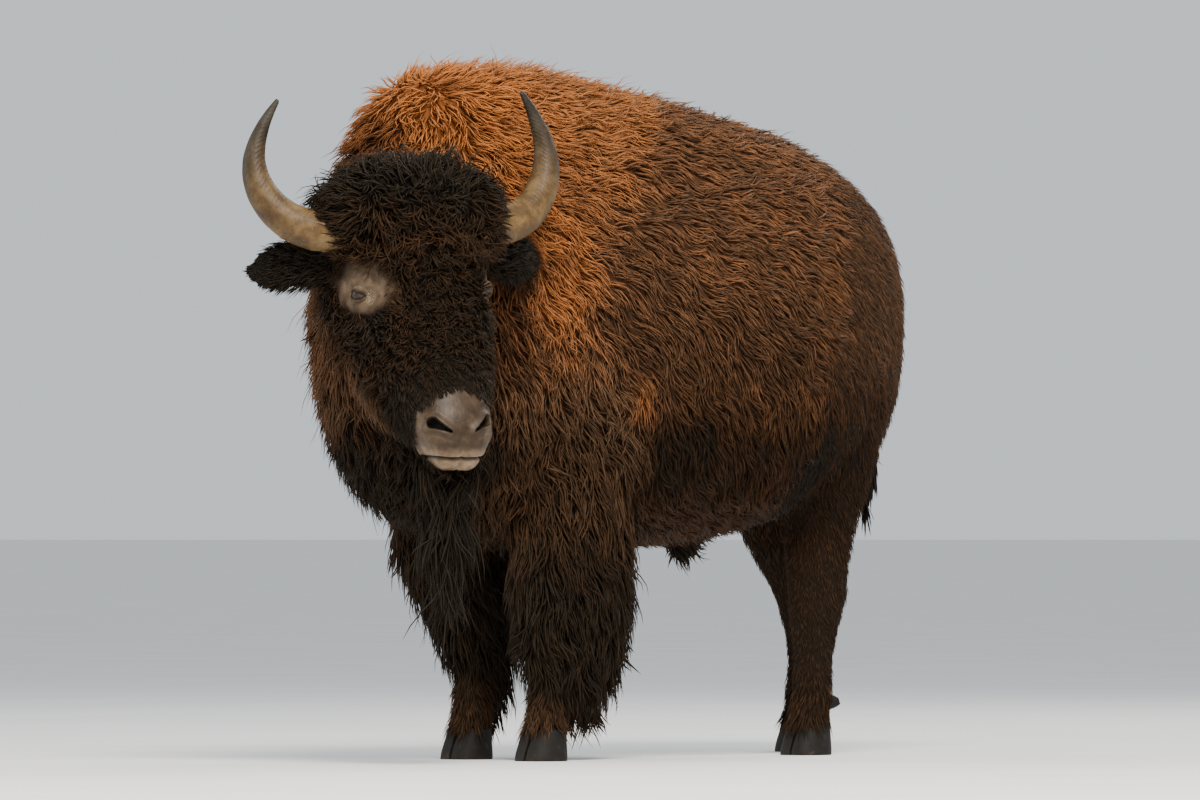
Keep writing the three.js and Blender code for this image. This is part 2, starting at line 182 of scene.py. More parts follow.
def corners_of(node):
    """The lowest and the highest corner of a node's box."""
    return (np.array(corner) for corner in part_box(node))


def spread(field, edges, rounds):
    """Smooths a value held by each point over its neighbours."""
    field = np.array(field, float)
    flat = field.reshape(len(field), -1)
    a, b = edges[:, 0], edges[:, 1]
    count = np.bincount(a, minlength=len(flat)) + np.bincount(b, minlength=len(flat))
    for _ in range(rounds):
        for k in range(flat.shape[1]):
            total = np.bincount(a, flat[b, k], len(flat)) + np.bincount(b, flat[a, k], len(flat))
            flat[:, k] = 0.5 * flat[:, k] + 0.5 * total / np.maximum(count, 1)
    return flat.reshape(field.shape)


def unit(vectors):
    return vectors / np.maximum(np.linalg.norm(vectors, axis=-1, keepdims=True), 1e-9)


def ease(value, start, end):
    """0 before start and 1 after end, or the other way round, with a soft step between."""
    t = np.clip((value - start) / (end - start), 0.0, 1.0)
    return t * t * (3 - 2 * t)


def hill(distance, radius):
    """1 at the middle, fading to 0 at the radius."""
    t = np.clip(1 - (distance / radius) ** 2, 0.0, 1.0)
    return t * t


def ridge(offset, width):
    """1 along a line, falling away on both sides of it."""
    return np.exp(-((offset / width) ** 2))


def mix(a, b, t):
    return a * (1 - t) + b * t


def distance(places, spot, stretch=(1.0, 1.0, 1.0)):
    """How far each place is from a spot, measured more loosely along the stretched axes."""
    return np.linalg.norm((places - spot) / stretch, axis=1)


def flatten(vectors, normals):
    """What is left of each vector once it is laid flat on the surface."""
    return vectors - normals * (vectors * normals).sum(1, keepdims=True)


def attach(piece, slot, *nodes):
    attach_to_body(piece, "root")
    if nodes:
        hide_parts(*nodes)


def store(mesh, name, values, kind="FLOAT_VECTOR"):
    """Keeps a value or a vector for each point, for the materials to read."""
    layer = mesh.attributes.new(name, kind, "POINT")
    key = "vector" if kind == "FLOAT_VECTOR" else "value"
    layer.data.foreach_set(key, np.asarray(values, np.float32).ravel())


# ---------------------------------------------------------------- the head's own axes


def centre_of(node):
    low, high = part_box(node)
    return (low + high) / 2


class Head:
    """Axes of the head: across to its left, up the face from the nose, and out of the forehead."""

    nod = math.radians(50)
    left, right = centre_of("eye_left"), centre_of("eye_right")
    across = (left - right).normalized()
    level = Vector((0, 0, 1)).cross(across).normalized()
    upward = across.cross(level)
    along = level * math.cos(nod) + upward * math.sin(nod)
    out = upward * math.cos(nod) - level * math.sin(nod)
    eye_at = np.array(((left - right).length / 2, -0.076, -0.062))
    origin = (left + right) / 2 - along * eye_at[1] - out * eye_at[2]
    axes = np.array((across, along, out))
    start = np.array(origin)

    @classmethod
    def inside(cls, points):
        return (points - cls.start) @ cls.axes.T

    @classmethod
    def outside(cls, places):
        return places @ cls.axes + cls.start

    @classmethod
    def turned(cls, vectors):
        return vectors @ cls.axes

    @classmethod
    def rise(cls, places):
        """Height above the head's own origin."""
        return places @ cls.axes[:, 2]


# ---------------------------------------------------------------- the skin


def spot(node, across=0.5, along=0.5, up=0.5):
    """A place in a node's box: shares of its width, of its length and of its height."""
    low, high = corners_of(node)
    return low + (high - low) * (across, along, up)


# The landmarks of the coat, seen from the side. Each is (x, y, z).
CAPE_FOOT = spot("chaps_left", along=0.75, up=1.0)  # behind the fore leg
CAPE_WAIST = spot("trunk", along=0.165, up=0.58)  # where the cape's edge lies furthest forward
CAPE_TOP = spot("trunk", along=0.49, up=1.0)  # where it crosses the back
RUMP_FOOT = spot("trunk", along=0.57, up=0.0)  # where the flank folds into the hind leg
RUMP_TOP = spot("trunk", along=0.83, up=0.88)  # where the rump's short hair begins on the back
ELBOW = spot("trunk", along=0.25, up=0.31)  # rusty tufts
FLANK_SHADE = spot("trunk", along=0.34, up=0.20)  # painted shade behind the elbow, where the fore leg meets the flank
STIFLE = spot("trunk", along=0.65, up=0.16)  # painted shade in the fold of the hind leg
CHEEK_SHADE = spot("neck", across=0.97, along=0.95, up=0.44)  # painted shadow of the head on the fur behind the left cheek
NAPE = spot("neck", across=0.37, along=0.59, up=0.73)  # darker fur behind the crown, with painted shade on the front of the hump


def arc(height, start, end, bend):
    """How far back an edge of the coat lies at each height, on an arc that leaves its start upright."""
    share = np.clip((height - start[2]) / (end[2] - start[2]), 0, 1)
    return start[1] + (end[1] - start[1]) * share**bend


def cape_edge(height):
    """Two arcs that meet at the waist."""
    low = arc(height, CAPE_WAIST, CAPE_FOOT, 2.0)
    return np.where(height < CAPE_WAIST[2], low, arc(height, CAPE_WAIST, CAPE_TOP, 1.4))


def rump_edge(height):
    return arc(height, RUMP_FOOT, RUMP_TOP, 2.0)


# Places on the head, in its own axes. Those off the middle are given on the left side.
HEAD_REACH = 0.62  # everything nearer than this to the head's origin is head
HORN_LINE = 0.205  # the hairy skin reaches this far out along each horn
HORN_AXIS = np.array((0.0, 0.050, 0.0))  # where the two horns' roots would meet
MOUTH_RISE = -0.4945  # the mouth lies level, this far below the origin
NOSTRIL = np.array((0.050, -0.466, -0.104))
# The long hair in front of each eye, and the dark fur there and beside the nose pad.
TEAR_HAIR = {"right": (0.140, -0.155, -0.050), "left": (0.142, -0.112, -0.016)}
TEAR_DARK = (0.150, -0.150, -0.070)
NOSE_DARK = (0.125, -0.375, -0.165)


ROOT_SWELL = 0.010
SKIN_PUFF = 0.0015
SKIN_VOXEL = 0.0138
THIN_MARGIN = 0.02  # the ears' and the tail's boxes are widened by this
LEG_TOP = 0.55


def horn_root(side):
    """The fleshy root that the skin wraps round a horn: the horn's own root, cut off square and swollen."""
    root = copy_of(f"root_{side}", [f"horn_{side}"])
    cut = Head.outside(np.array((SIGN[side] * HORN_LINE, 0.0, 0.0)))
    facing = Head.axes[0] * SIGN[side]
    form = bmesh.new()
    form.from_mesh(root.data)
    everything = form.verts[:] + form.edges[:] + form.faces[:]
    bmesh.ops.bisect_plane(form, geom=everything, plane_co=cut, plane_no=facing, clear_outer=True)
    bmesh.ops.holes_fill(form, edges=[e for e in form.edges if e.is_boundary])
    bmesh.ops.recalc_face_normals(form, faces=form.faces)
    form.to_mesh(root.data)
    form.free()
    root.data.update()
    move_points(root.data, points_of(root.data) + normals_of(root.data) * ROOT_SWELL)
    return root


def make_skin():
    """One closed skin over every flesh node and into the masses of hair."""
    skin = copy_of("skin", COVERED, puff=SKIN_PUFF)
    roots = [horn_root(side) for side in SIDES]
    activate(*roots, skin)
    bpy.ops.object.join()
    apply_modifier(skin, "REMESH", mode="VOXEL", voxel_size=SKIN_VOXEL, adaptivity=0.0)
    points, edges = points_of(skin.data), edges_of(skin.data)
    # The broad parts are smoothed most, the legs less, and the ears and tail hardly at all.
    broad, light, slight = spread(points, edges, 9), spread(points, edges, 4), spread(points, edges, 1)
    keep = np.zeros((len(points), 2))
    for thin in ("ear_left", "ear_right", "tail"):
        low, high = corners_of(thin)
        keep[((points > low - THIN_MARGIN) & (points < high + THIN_MARGIN)).all(1), 0] = 1
    keep[points[:, 2] < LEG_TOP, 1] = 1
    keep = spread(keep, edges, 4)
    moved = mix(mix(broad, light, keep[:, 1:]), slight, keep[:, :1])
    move_points(skin.data, moved)
    return skin


def refine(skin, chosen):
    """Cuts the chosen faces in four, for finer modelling there."""
    activate(skin)
    mesh = skin.data
    mesh.polygons.foreach_set("select", chosen)
    mesh.edges.foreach_set("select", np.zeros(len(mesh.edges), bool))
    mesh.vertices.foreach_set("select", np.zeros(len(mesh.vertices), bool))
    bpy.ops.object.mode_set(mode="EDIT")
    bpy.ops.mesh.select_mode(type="FACE")
    bpy.ops.mesh.subdivide(number_cuts=1, smoothness=0.0)
    bpy.ops.object.mode_set(mode="OBJECT")


def mirrored(places):
    """Places on the head, all brought to its left side."""
    folded = np.array(places)
    folded[:, 0] = np.abs(folded[:, 0])
    return folded


def on_head(places):
    return np.linalg.norm(places, axis=1) < HEAD_REACH


def nostril_distance(places):
    return distance(mirrored(places), NOSTRIL)


def eye_distance(places):
    """Distance from the nearer eye, in head axes."""
    return distance(mirrored(places), Head.eye_at)


def eye_axes(side):
    """Towards the inner corner, up the lids and out of the left (1) or right (-1) eye, in head axes."""
    upright = Head.axes[:, 2]
    out = unit(np.array((side * 0.90, -0.30, 0.32)))
    slit = unit(np.cross(upright, out))
    slit = slit if slit[1] < 0 else -slit
    up = unit(np.cross(out, slit))
    up = up if up @ upright > 0 else -up
    return unit(slit - 0.12 * up), unit(up + 0.12 * slit), out


def round_eye(places):
    """Each point's place along the slit and up from it, about the nearer eye."""
    along, up = np.zeros(len(places)), np.zeros(len(places))
    for side in (1, -1):
        near = places[:, 0] * side > 0
        slit, rise, _ = eye_axes(side)
        offset = places[near] - Head.eye_at * (side, 1, 1)
        along[near], up[near] = offset @ slit, offset @ rise
    return along, up


# Each round of finer faces: how far down the face its muzzle part starts, how far round each eye it
# reaches, and whether its muzzle part keeps to the nostrils and the mouth.
FINER = ((-0.34, 0.10, False), (-0.38, 0.075, False), (-0.42, 0.042, True))


def refine_face(skin):
    for muzzle_start, eye_reach, only_openings in FINER:
        places = Head.inside(rows(skin.data.polygons, "center", 3).astype(float))
        muzzle = (places[:, 1] < muzzle_start) & (np.abs(places[:, 0]) < 0.16) & (places[:, 2] > -0.29)
        if only_openings:
            by_mouth = np.abs(Head.rise(places) - MOUTH_RISE) < 0.022
            muzzle &= (nostril_distance(places) < 0.052) | by_mouth
        refine(skin, on_head(places) & (muzzle | (eye_distance(places) < eye_reach)))


skin = make_skin()
refine_face(skin)


def node_finder():
    """The surface of every covered node, and which of them each of its faces belongs to."""
    points, faces, owner = [], [], []
    for index, node in enumerate(COVERED):
        mesh = NODES[node].data
        mesh.calc_loop_triangles()
        base = len(points)
        points += [tuple(v.co) for v in mesh.vertices]
        faces += [tuple(base + i for i in t.vertices) for t in mesh.loop_triangles]
        owner += [index] * len(mesh.loop_triangles)
    return BVHTree.FromPolygons(points, faces), np.array(owner)


FINDER, OWNER = node_finder()
outer = points_of(skin.data)  # the tips of the coat, where the skin starts out
edges = edges_of(skin.data)
belongs = OWNER[np.array([FINDER.find_nearest(point)[2] for point in outer])]
place = Head.inside(outer)


def part(*names):
    """1 on the points that belong to the nodes so named and 0 elsewhere."""
    wanted = [i for i, node in enumerate(COVERED) if node.startswith(names)]
    return np.isin(belongs, wanted).astype(float)


def soft(field, rounds):
    return spread(field, edges, rounds)


class Zones:
    """How far each point belongs to each zone of the coat, from 0 to 1."""


def lay_bare_zones(zone):
    """Bare leather: the nose pad with the lips and chin, and a patch round each eye."""
    hx, hy, hz = place.T
    side, rise = np.abs(hx), Head.rise(place)
    rim = -0.372 - 0.255 * side - 0.9 * np.clip(-0.119 - hz, 0, 0.041) - 0.25 * np.clip(-0.16 - hz, 0, 1)
    rim = rim + 0.006 * np.sin(hx * 90) * np.sin(hz * 110 + 1.0)
    zone.pad = ease(hy, rim + 0.012, rim - 0.012) * ease(rise, -0.535, -0.525) * on_head(place)
    zone.pad *= ease(np.hypot(side / 0.105, np.clip(-0.455 - rise, 0, 1) / 0.085), 1.06, 0.88)
    # The hair in front of the left eye hangs further over its patch.
    slit, up = round_eye(place)
    shagged = 1.0 * (hx > 0)
    wide = (slit + 0.002 + 0.020 * shagged) / (0.084 - 0.040 * shagged)
    tall = (up - 0.024 + 0.014 * shagged) / (0.062 - 0.016 * shagged)
    patch = np.hypot(wide, tall) + 0.07 * np.sin(hx * 130 + hz * 60) * np.sin(hy * 110)
    patch = patch + 0.05 * np.sin(hy * 60 - hz * 170)
    zone.patch = ease(patch, 1.15, 0.66) * (side > 0.05) * (eye_distance(place) < 0.13)
    zone.around_eye = ease(patch, 1.32, 1.0) * (side > 0.05) * (eye_distance(place) < 0.16)
    hair = mix(np.array(TEAR_HAIR["right"]), np.array(TEAR_HAIR["left"]), shagged[:, None])
    zone.tear = hill(distance(mirrored(place), hair, (1.0, 1.25, 1.0)), 0.080) * (1 - zone.patch)


# The zones that lie on nodes of their own: how the nodes' names start, and the rounds of softening.
NODES_OF = {
    "head": (("head", "eye"), 4),
    "bonnet": (("forelock",), 4),
    "beard": (("beard",), 4),
    "chaps": (("chaps",), 5),
    "forearm": (("forearm",), 5),
    "shin": (("shin", "shank"), 5),
    "ear": (("ear",), 1),
    "tuft": (("tail_tuft",), 1),
    "body": (("trunk", "sheath"), 5),
    "sheath": (("sheath",), 3),
    "neck": (("neck",), 5),
}


def lay_zones():
    x, y, z = outer.T
    hx, hy, hz = place.T
    zone = Zones()
    trunk = part("trunk", "sheath")
    # The cape's edge is ragged, and softer over the back.
    ragged = 0.018 * np.sin(31 * z + 2.0) + 0.014 * np.sin(57 * z + 9 * x) + 0.010 * np.sin(95 * z + 1.0)
    rear = cape_edge(z) + ragged
    fade = 0.03 + 0.05 * ease(z, 1.30, 1.55)
    zone.cape = soft((trunk + part("neck")) * ease(y, rear + fade, rear - fade), 4)
    ragged = 0.030 * np.sin(23 * z + 1.0) + 0.020 * np.sin(47 * z + 6 * x) + 0.012 * np.sin(88 * z)
    front = rump_edge(z) + ragged
    zone.rump = soft(trunk * ease(y, front - 0.09, front + 0.11) + part("thigh"), 10)
    for name, (nodes, rounds) in NODES_OF.items():
        setattr(zone, name, soft(part(*nodes), rounds))
    zone.tail = soft(part("tail") - part("tail_tuft"), 1)
    lay_bare_zones(zone)
    # The hair that wraps each horn's root.
    side, round_horn = np.abs(hx), np.hypot(hy - 0.066, hz - 0.050)
    zone.collar = ease(side, 0.150, 0.180) * ease(side, 0.26, 0.24) * ease(round_horn, 0.105, 0.080)
    return zone


zone = lay_zones()


def coat_depth():
    """How far the skin lies under the tips of the coat."""
    z, hy = outer[:, 2], place[:, 1]
    depths = (
        (zone.cape, 0.024 + 0.010 * ease(z, 1.3, 1.6)),
        (zone.rump, 0.008),
        (zone.head, mix(0.020, 0.004, ease(hy, -0.20, -0.36))),
        (zone.bonnet, 0.034),
        (zone.beard, 0.034),
        (zone.chaps, 0.030),
        (zone.forearm, 0.020),
        (zone.shin, 0.0045),
        (zone.ear, -0.004),
        (zone.collar, 0.0),
        (zone.tail, 0.004),
        (zone.tuft, 0.030),
        (zone.around_eye, 0.009),
        (zone.pad, 0.0),
    )
    depth = np.full(len(outer), 0.014)
    for share, deep in depths:
        depth = mix(depth, deep, share)
    return soft(depth, 4)


def thickness(points, normals):
    """How thick the body is straight in from each point."""
    starts = [Vector(point) for point in points]
    tree = BVHTree.FromPolygons(starts, [tuple(face.vertices) for face in skin.data.polygons])
    reach = np.full(len(points), 1.0)
    for i, (start, normal) in enumerate(zip(starts, normals)):
        inward = -Vector(normal)
        hit = tree.ray_cast(start + inward * 0.002, inward, 0.4)
        if hit[0] is not None:
            reach[i] = hit[3]
    return reach


DEPTH_SHARE = 0.28  # the skin sinks by no more than this share of the body's thickness
CROWN_SWELL = 0.034


def sink_skin():
    """The skin's points, moved in by the coat's depth."""
    normals = unit(spread(normals_of(skin.data), edges, 3))
    room = spread(thickness(outer, normals), edges, 3)
    depth = np.minimum(coat_depth(), DEPTH_SHARE * room)
    depth = spread(depth, edges, 5) * (1 - zone.pad)
    sunk = outer - normals * depth[:, None]
    # The forehead runs up into the bonnet without a step.
    join = spread(4 * zone.head * zone.bonnet, edges, 12)
    sunk = mix(sunk, spread(sunk, edges, 40), np.clip(join, 0, 1)[:, None])
    hx, hy, hz = Head.inside(sunk).T
    swell = hill(np.hypot((hy + 0.015) / 0.115, hx / 0.24), 1.0) * ease(hz, -0.02, 0.03) * (np.abs(hy) < 0.3)
    return sunk + Head.axes[2] * (CROWN_SWELL * swell)[:, None]


inner = sink_skin()


# ---------------------------------------------------------------- modelling the face


EYE_RADIUS = 0.020
CORNEA_SWELL = 0.0016
EYE_SINK = 0.013  # the eyeball sits this much deeper than its solid
EYE_LIFT = np.array((0.004, 0.007))  # and this much further along the slit and up from it


def eye_centre(side):
    """The middle of the eyeball, in head axes, for the left (1) or right (-1) eye."""
    slit, up, out = eye_axes(side)
    return Head.eye_at * (side, 1, 1) - out * EYE_SINK - slit * EYE_LIFT[0] + up * EYE_LIFT[1]


def nostril_axes(side):
    """Towards the septum, down and out of the left (1) or right (-1) nostril, in head axes."""
    out = unit(np.array((side * 0.36, -0.45, 0.82)))
    inward = np.array((-side * 0.68, -0.73, -0.06))
    inward = unit(inward - out * (inward @ out))
    down = np.cross(inward, out)
    down = down if down[2] < 0 else -down
    return inward, down, out


NOSTRIL_START, NOSTRIL_LONG = 0.028, 0.048  # its wide end from its middle, and its length


def model_nostril(p, side):
    """A comma-shaped scoop, wide at its outer end, under a swollen rim."""
    inward, down, out = nostril_axes(side)
    offset = p - NOSTRIL * (side, 1, 1)
    a, b, c = offset @ inward, offset @ down, offset @ out
    here = (np.abs(c) < 0.05) & (p[:, 0] * side > 0.002) & (p[:, 1] < -0.38)
    along = np.clip((a + NOSTRIL_START) / NOSTRIL_LONG, 0, 1)
    bow = 0.001 - 0.009 * along
    wide = mix(0.0158, 0.0046, along**0.8)
    gap = np.hypot(a - (-NOSTRIL_START + NOSTRIL_LONG * along), b - bow) - wide
    scoop = np.where(here, ease(gap, 0.0015, -0.0065), 0)
    above = ease(b - bow, 0.006, -0.006)
    rim = np.where(here, ridge(gap - 0.0045, 0.0055) * mix(0.35, 1.0, above), 0)
    wing = np.where(here, ridge(gap - 0.017, 0.007) * (1 - above), 0)
    depth = mix(0.024, 0.012, along)
    moved = p - out * (depth * scoop)[:, None] + out * (0.0066 * rim - 0.0026 * wing)[:, None]
    return moved + down * (0.0045 * rim * above)[:, None], scoop


def model_muzzle(points):
    """Nostrils, the middle groove, the mouth and the chin, in head axes; also says where it is hollow, for
    the painted shade in the nostrils and the mouth's crease.
    """
    p = Head.inside(points)
    hollow = np.zeros(len(p))
    for side in (1, -1):
        p, hollow_shade = model_nostril(p, side)
        hollow = np.maximum(hollow, hollow_shade)
    # The muzzle narrows and rounds off towards the mouth and the chin.
    rise = Head.rise(p)
    near = on_head(p) * ease(p[:, 1], -0.36, -0.43)
    narrow = near * ease(rise, -0.435, -0.525)
    p[:, 0] *= 1 - 0.24 * narrow
    corner = near * ease(np.abs(p[:, 0]), 0.040, 0.095)
    p[:, 1] += 0.016 * corner * ease(rise, -0.42, -0.50)
    hx, hy, hz = p.T
    side, rise = np.abs(hx), Head.rise(p)
    near = on_head(p) * ease(hy, -0.38, -0.41)
    inward = unit(np.stack([-hx * 4.0, 0.55 + 0 * hx, -0.15 + 0 * hx], 1))
    # A shallow hollow down the middle of the pad, with the septum's soft edges.
    groove = ridge(hx, 0.005) * ease(hz, -0.112, -0.128)
    septum = ridge(side - 0.018, 0.008) * ease(hz, -0.095, -0.11) * ease(rise, -0.485, -0.46)
    # The lips meet in a soft crease that bows down in the middle and at the corners.
    crease = MOUTH_RISE - 0.003 + 1.6 * np.clip(side - 0.015, 0, 0.06) ** 2
    mouth = ridge(rise - crease, 0.0034)
    upper = ridge(rise - crease - 0.011, 0.008)
    lower = ridge(rise - crease + 0.012, 0.009) * ease(hy, -0.43, -0.47)
    under = ease(rise, MOUTH_RISE - 0.02, MOUTH_RISE - 0.045) * ease(hy, -0.42, -0.49)
    push = 0.0035 * groove + 0.009 * mouth - 0.0020 * septum - 0.003 * upper - 0.002 * lower + 0.010 * under
    hollow = np.maximum(hollow, mouth * near)
    return Head.outside(p + inward * (push * near)[:, None]), hollow


SLIT_HALF = 0.0165  # half the length of the opening between the lids
LID_TOP, LID_FOOT = 0.0014, -0.0028  # how far it opens above and below its corners, at its middle
LID_FOLDS = ((0.0135, 0.0024), (0.0195, 0.0017), (-0.0130, 0.0020), (-0.0195, 0.0014))  # place and height


def model_eyes(points):
    """Sockets, folds and lids round each eyeball; also says where the lids' edge and the crust lie."""
    p = Head.inside(points)
    lash, crust = np.zeros(len(p)), np.zeros(len(p))
    for side in (1, -1):
        slit, up, out = eye_axes(side)
        ball = eye_centre(side)
        offset = p - ball
        a, b, c = offset @ slit, offset @ up, offset @ out
        facing = (c > -0.012) & (np.hypot(a, b) < 0.09)
        # The brow stands over the eye, and the socket dips in front of it and under it.
        brow = hill(np.hypot(a / 1.6, (b - 0.034) / 0.8), 0.034) * 0.009
        dip = hill(np.hypot((a - 0.036) / 1.2, (b + 0.010) / 1.0), 0.026) * 0.006
        p += np.where(facing, brow - dip, 0)[:, None] * out
        offset = p - ball
        a, b, c = offset @ slit, offset @ up, offset @ out
        away = np.linalg.norm(offset, axis=1)
        lid = EYE_RADIUS + 0.0030 + 0.0008 * ease(b, 0.0, 0.012)
        hug = np.where(facing, ease(np.hypot(a / 1.25, b), 0.033, 0.019), 0.0)
        target = ball + offset / np.maximum(away, 1e-6)[:, None] * lid[:, None]
        p = mix(p, target, hug[:, None])
        # The half-closed opening, with the upper lid hanging over the eye.
        reach = np.sqrt(np.clip(1 - (a / SLIT_HALF) ** 2, 0, 1))
        top, foot = LID_TOP * reach, LID_FOOT * reach
        between = ease(b, top + 0.0008, top - 0.0008) * ease(b, foot - 0.0008, foot + 0.0008)
        opening = np.where(facing & (np.abs(a) < SLIT_HALF), between, 0)
        p -= out * (0.011 * opening)[:, None]
        edge = np.minimum(np.abs(b - top), np.abs(b - foot))
        edge = ease(edge, 0.0055, 0.0018) * ease(np.abs(a), SLIT_HALF + 0.007, SLIT_HALF + 0.001)
        lash = np.maximum(lash, np.where(facing, edge, 0))
        dried = hill(np.hypot((a - 0.030) / 1.1, (b + 0.004) / 1.3), 0.021)
        crust = np.maximum(crust, np.where(facing, dried, 0))
        # Folds over the upper lid and under the lower one.
        for shift, strength in LID_FOLDS:
            bow = b - shift * (1 - (a / 0.042) ** 2)
            fold = ridge(bow, 0.0018) * ease(np.abs(a), 0.034, 0.018)
            p -= out * np.where(facing, strength * fold, 0)[:, None]
    return Head.outside(p), lash, crust


inner, hollow = model_muzzle(inner)
inner, lash, crust = model_eyes(inner)
move_points(skin.data, inner)


def unwrap_skin():
    """An unwrap of the skin's own shape, on which every lock of the coat has its place."""
    activate(skin)
    bpy.ops.object.mode_set(mode="EDIT")
    bpy.ops.mesh.select_all(action="SELECT")
    bpy.ops.uv.smart_project(angle_limit=math.radians(75), island_margin=0.001)
    bpy.ops.mesh.quads_convert_to_tris(quad_method="BEAUTY", ngon_method="BEAUTY")
    bpy.ops.object.mode_set(mode="OBJECT")
    skin.data.uv_layers.active.name = "Unwrap"


unwrap_skin()


# ---------------------------------------------------------------- markings of the coat


def lay_markings():
    """Rust, darkness and ash of the coat at each point, from 0 to 1; the darkness also holds painted shade
    behind the elbow, in the hind leg's fold and on the hump's front, and a painted shadow behind the left
    cheek.
    """
    x, y, z = outer.T
    _, hy, hz = place.T
    flank = 1 - np.clip(zone.cape + zone.rump, 0, 1)
    rust = 0.34 + 0 * x
    rust = mix(rust, 0.46, flank * ease(z, 0.95, 1.45))
    # The cape: brightest over the hump, redder and darker towards the chest and the throat.
    throat = ease(y, -0.62, -0.86)
    cape = mix(0.34, 0.86, ease(z, 0.86, 1.28)) + 0.14 * ease(z, 1.40, 1.62)
    cape = mix(cape, mix(0.30, 0.90, ease(z, 1.12, 1.50)), throat)
    rust = mix(rust, cape, zone.cape)
    # A rusty band along the front edge of the rump, and tufts behind the elbow.
    wander = 0.030 * np.sin(23 * z + 1.0) + 0.020 * np.sin(61 * z + 2.0)
    band = ridge(y - rump_edge(z) - wander + 0.03, 0.045) * ease(z, 0.54, 0.62) * ease(z, 1.42, 1.15)
    rust += mix(0.14, 0.28, 0.5 + 0.5 * np.sin(37 * z)) * band * zone.body
    elbow = hill(np.hypot((y - ELBOW[1]) / 0.7, (z - ELBOW[2]) / 1.2), 0.085)
    rust = mix(rust, 1.0, elbow * zone.body)
    rust = mix(rust, 0.26, zone.rump)
    # Dark: the lower flank, belly, legs, chest, face and all the long hair.
    dark = 0.12 + 0.20 * ease(z, 1.30, 0.95)
    low = ease(z, 0.98, 0.78) * ease(y, -0.24, -0.06)
    dark = mix(dark, 0.60, low * flank)
    dark = mix(dark, 0.50, ease(z, 0.70, 0.62) * flank)
    rust = mix(rust, 0.20, ease(z, 0.68, 0.60) * zone.body * (1 - zone.rump))
    # Painted shade behind the elbow, where the fore leg meets the flank.
    flank_shade = ease(np.hypot((y - FLANK_SHADE[1]) / 1.5, z - FLANK_SHADE[2]), 0.170, 0.050)
    dark = np.maximum(dark, 0.76 * flank_shade * flank)
    cape_dark = mix(0.04, 0.44, ease(z, 1.06, 0.76))
    # Painted shadow: the fur beside the left cheek is darkened where the head shades it.
    beside = hill(distance(outer, CHEEK_SHADE, (1.0, 1.0, 1.8)), 0.20)
    cape_dark = np.maximum(cape_dark, 0.54 * beside)
    cape_dark = np.maximum(cape_dark, 0.16 * throat * ease(z, 1.42, 1.10))
    # Painted shade on the front of the hump behind the crown, partly the darker fur there.
    nape_shade = hill(distance(outer, NAPE, (1.2, 1.0, 1.5)), 0.24)
    cape_dark = np.maximum(cape_dark, 0.80 * nape_shade)
    chest = ease(y, -0.40, -0.60) * ease(z, 0.98, 0.74)
    cape_dark = np.maximum(cape_dark, 0.84 * chest)
    dark = mix(dark, cape_dark, zone.cape)
    dark = mix(dark, mix(0.28, 0.63, ease(z, 1.10, 0.74)), zone.rump)
    # Painted shade in the fold where the hind leg meets the flank.
    stifle_shade = ease(np.hypot((y - STIFLE[1]) / 0.55, (z - STIFLE[2]) / 1.5), 0.165, 0.035)
    dark = np.maximum(dark, stifle_shade)
    dark = dark * (1 - 0.8 * elbow * zone.body)
    dark = mix(dark, mix(0.80, 0.54, ease(z, 0.40, 0.68)), zone.chaps)
    rust = mix(rust, 0.20, zone.chaps)
    dark = mix(dark, 0.66, zone.forearm)
    dark = mix(dark, 0.84, zone.sheath)
    dark = mix(dark, mix(0.46, 0.62, ease(y, 0.2, 0.5)), zone.shin)
    rust = mix(rust, 0.09, zone.shin)
    cheek = ease(hz, -0.14, -0.26) * ease(hy, -0.38, -0.24)
    face_dark = mix(mix(0.74, 0.86, ease(hy, -0.22, -0.36)), 0.27, cheek)
    tear = np.clip(1.3 * hill(distance(mirrored(place), TEAR_DARK, (1.0, 1 / 0.9, 1.0)), 0.062), 0, 1)
    tear = np.maximum(tear, 0.9 * hill(distance(mirrored(place), NOSE_DARK), 0.085))
    dark = mix(dark, np.maximum(face_dark, tear), zone.head)
    rust = mix(rust, mix(0.24, 0.38, cheek) * (1 - tear), zone.head)
    crown_dark = mix(0.74, 0.92, ease(z, 1.36, 1.43))
    long_hair = ((zone.bonnet, crown_dark, 0.26), (zone.beard, 1.0, 0.05))
    for share, darkness, warmth in (*long_hair, (zone.ear, 1.0, 0.16), (zone.tuft, 0.95, 0.12)):
        dark = mix(dark, darkness, share)
        rust = mix(rust, warmth, share)
    dark = mix(dark, 0.60, zone.tail)
    ash = 0.12 + 0.55 * cheek * zone.head + 0.20 * zone.neck * ease(x, 0.05, -0.02) + 0.06 * zone.rump
    ash = ash + 0.40 * (zone.chaps + zone.forearm + zone.shin)
    ash = mix(ash, 0.45 * ease(z, 1.05, 0.80) + 0.25 * ease(y, -0.45, -0.20), zone.cape)
    # The hair that thins out round each eye is paler.
    thin = zone.around_eye * (1 - tear)
    dark, rust, ash = mix(dark, 0.50, thin), mix(rust, 0.22, thin), mix(ash, 0.75, thin)
    rust, dark, ash = (spread(np.clip(m, 0, 1), edges, 3) for m in (rust, dark, ash))
    return np.clip(np.stack([rust, dark, ash], 1), 0, 1)


markings = lay_markings()
store(skin.data, "markings", markings)


def pale_lip():
    """Where the nose pad pales: at the lips and the chin, and a little towards its sides."""
    hx, _, hz = place.T
    flanks = ease(np.abs(hx), 0.045, 0.090) * ease(hz, -0.085, -0.125)
    return soft(np.clip(ease(Head.rise(place), -0.464, -0.500) + 0.22 * flanks, 0, 1), 8)


store(skin.data, "bare", np.stack([zone.pad, zone.patch, pale_lip()], 1))
# The hollows of the nostrils and the mouth carry painted shade; the lids' edge and the crust are their own
# colour.
store(skin.data, "hollow", np.stack([hollow, lash, crust], 1))
attach(skin, "coat", *FLESH)


# ---------------------------------------------------------------- the lie of the hair


DOWN = np.array((0.0, 0.0, -1.0))


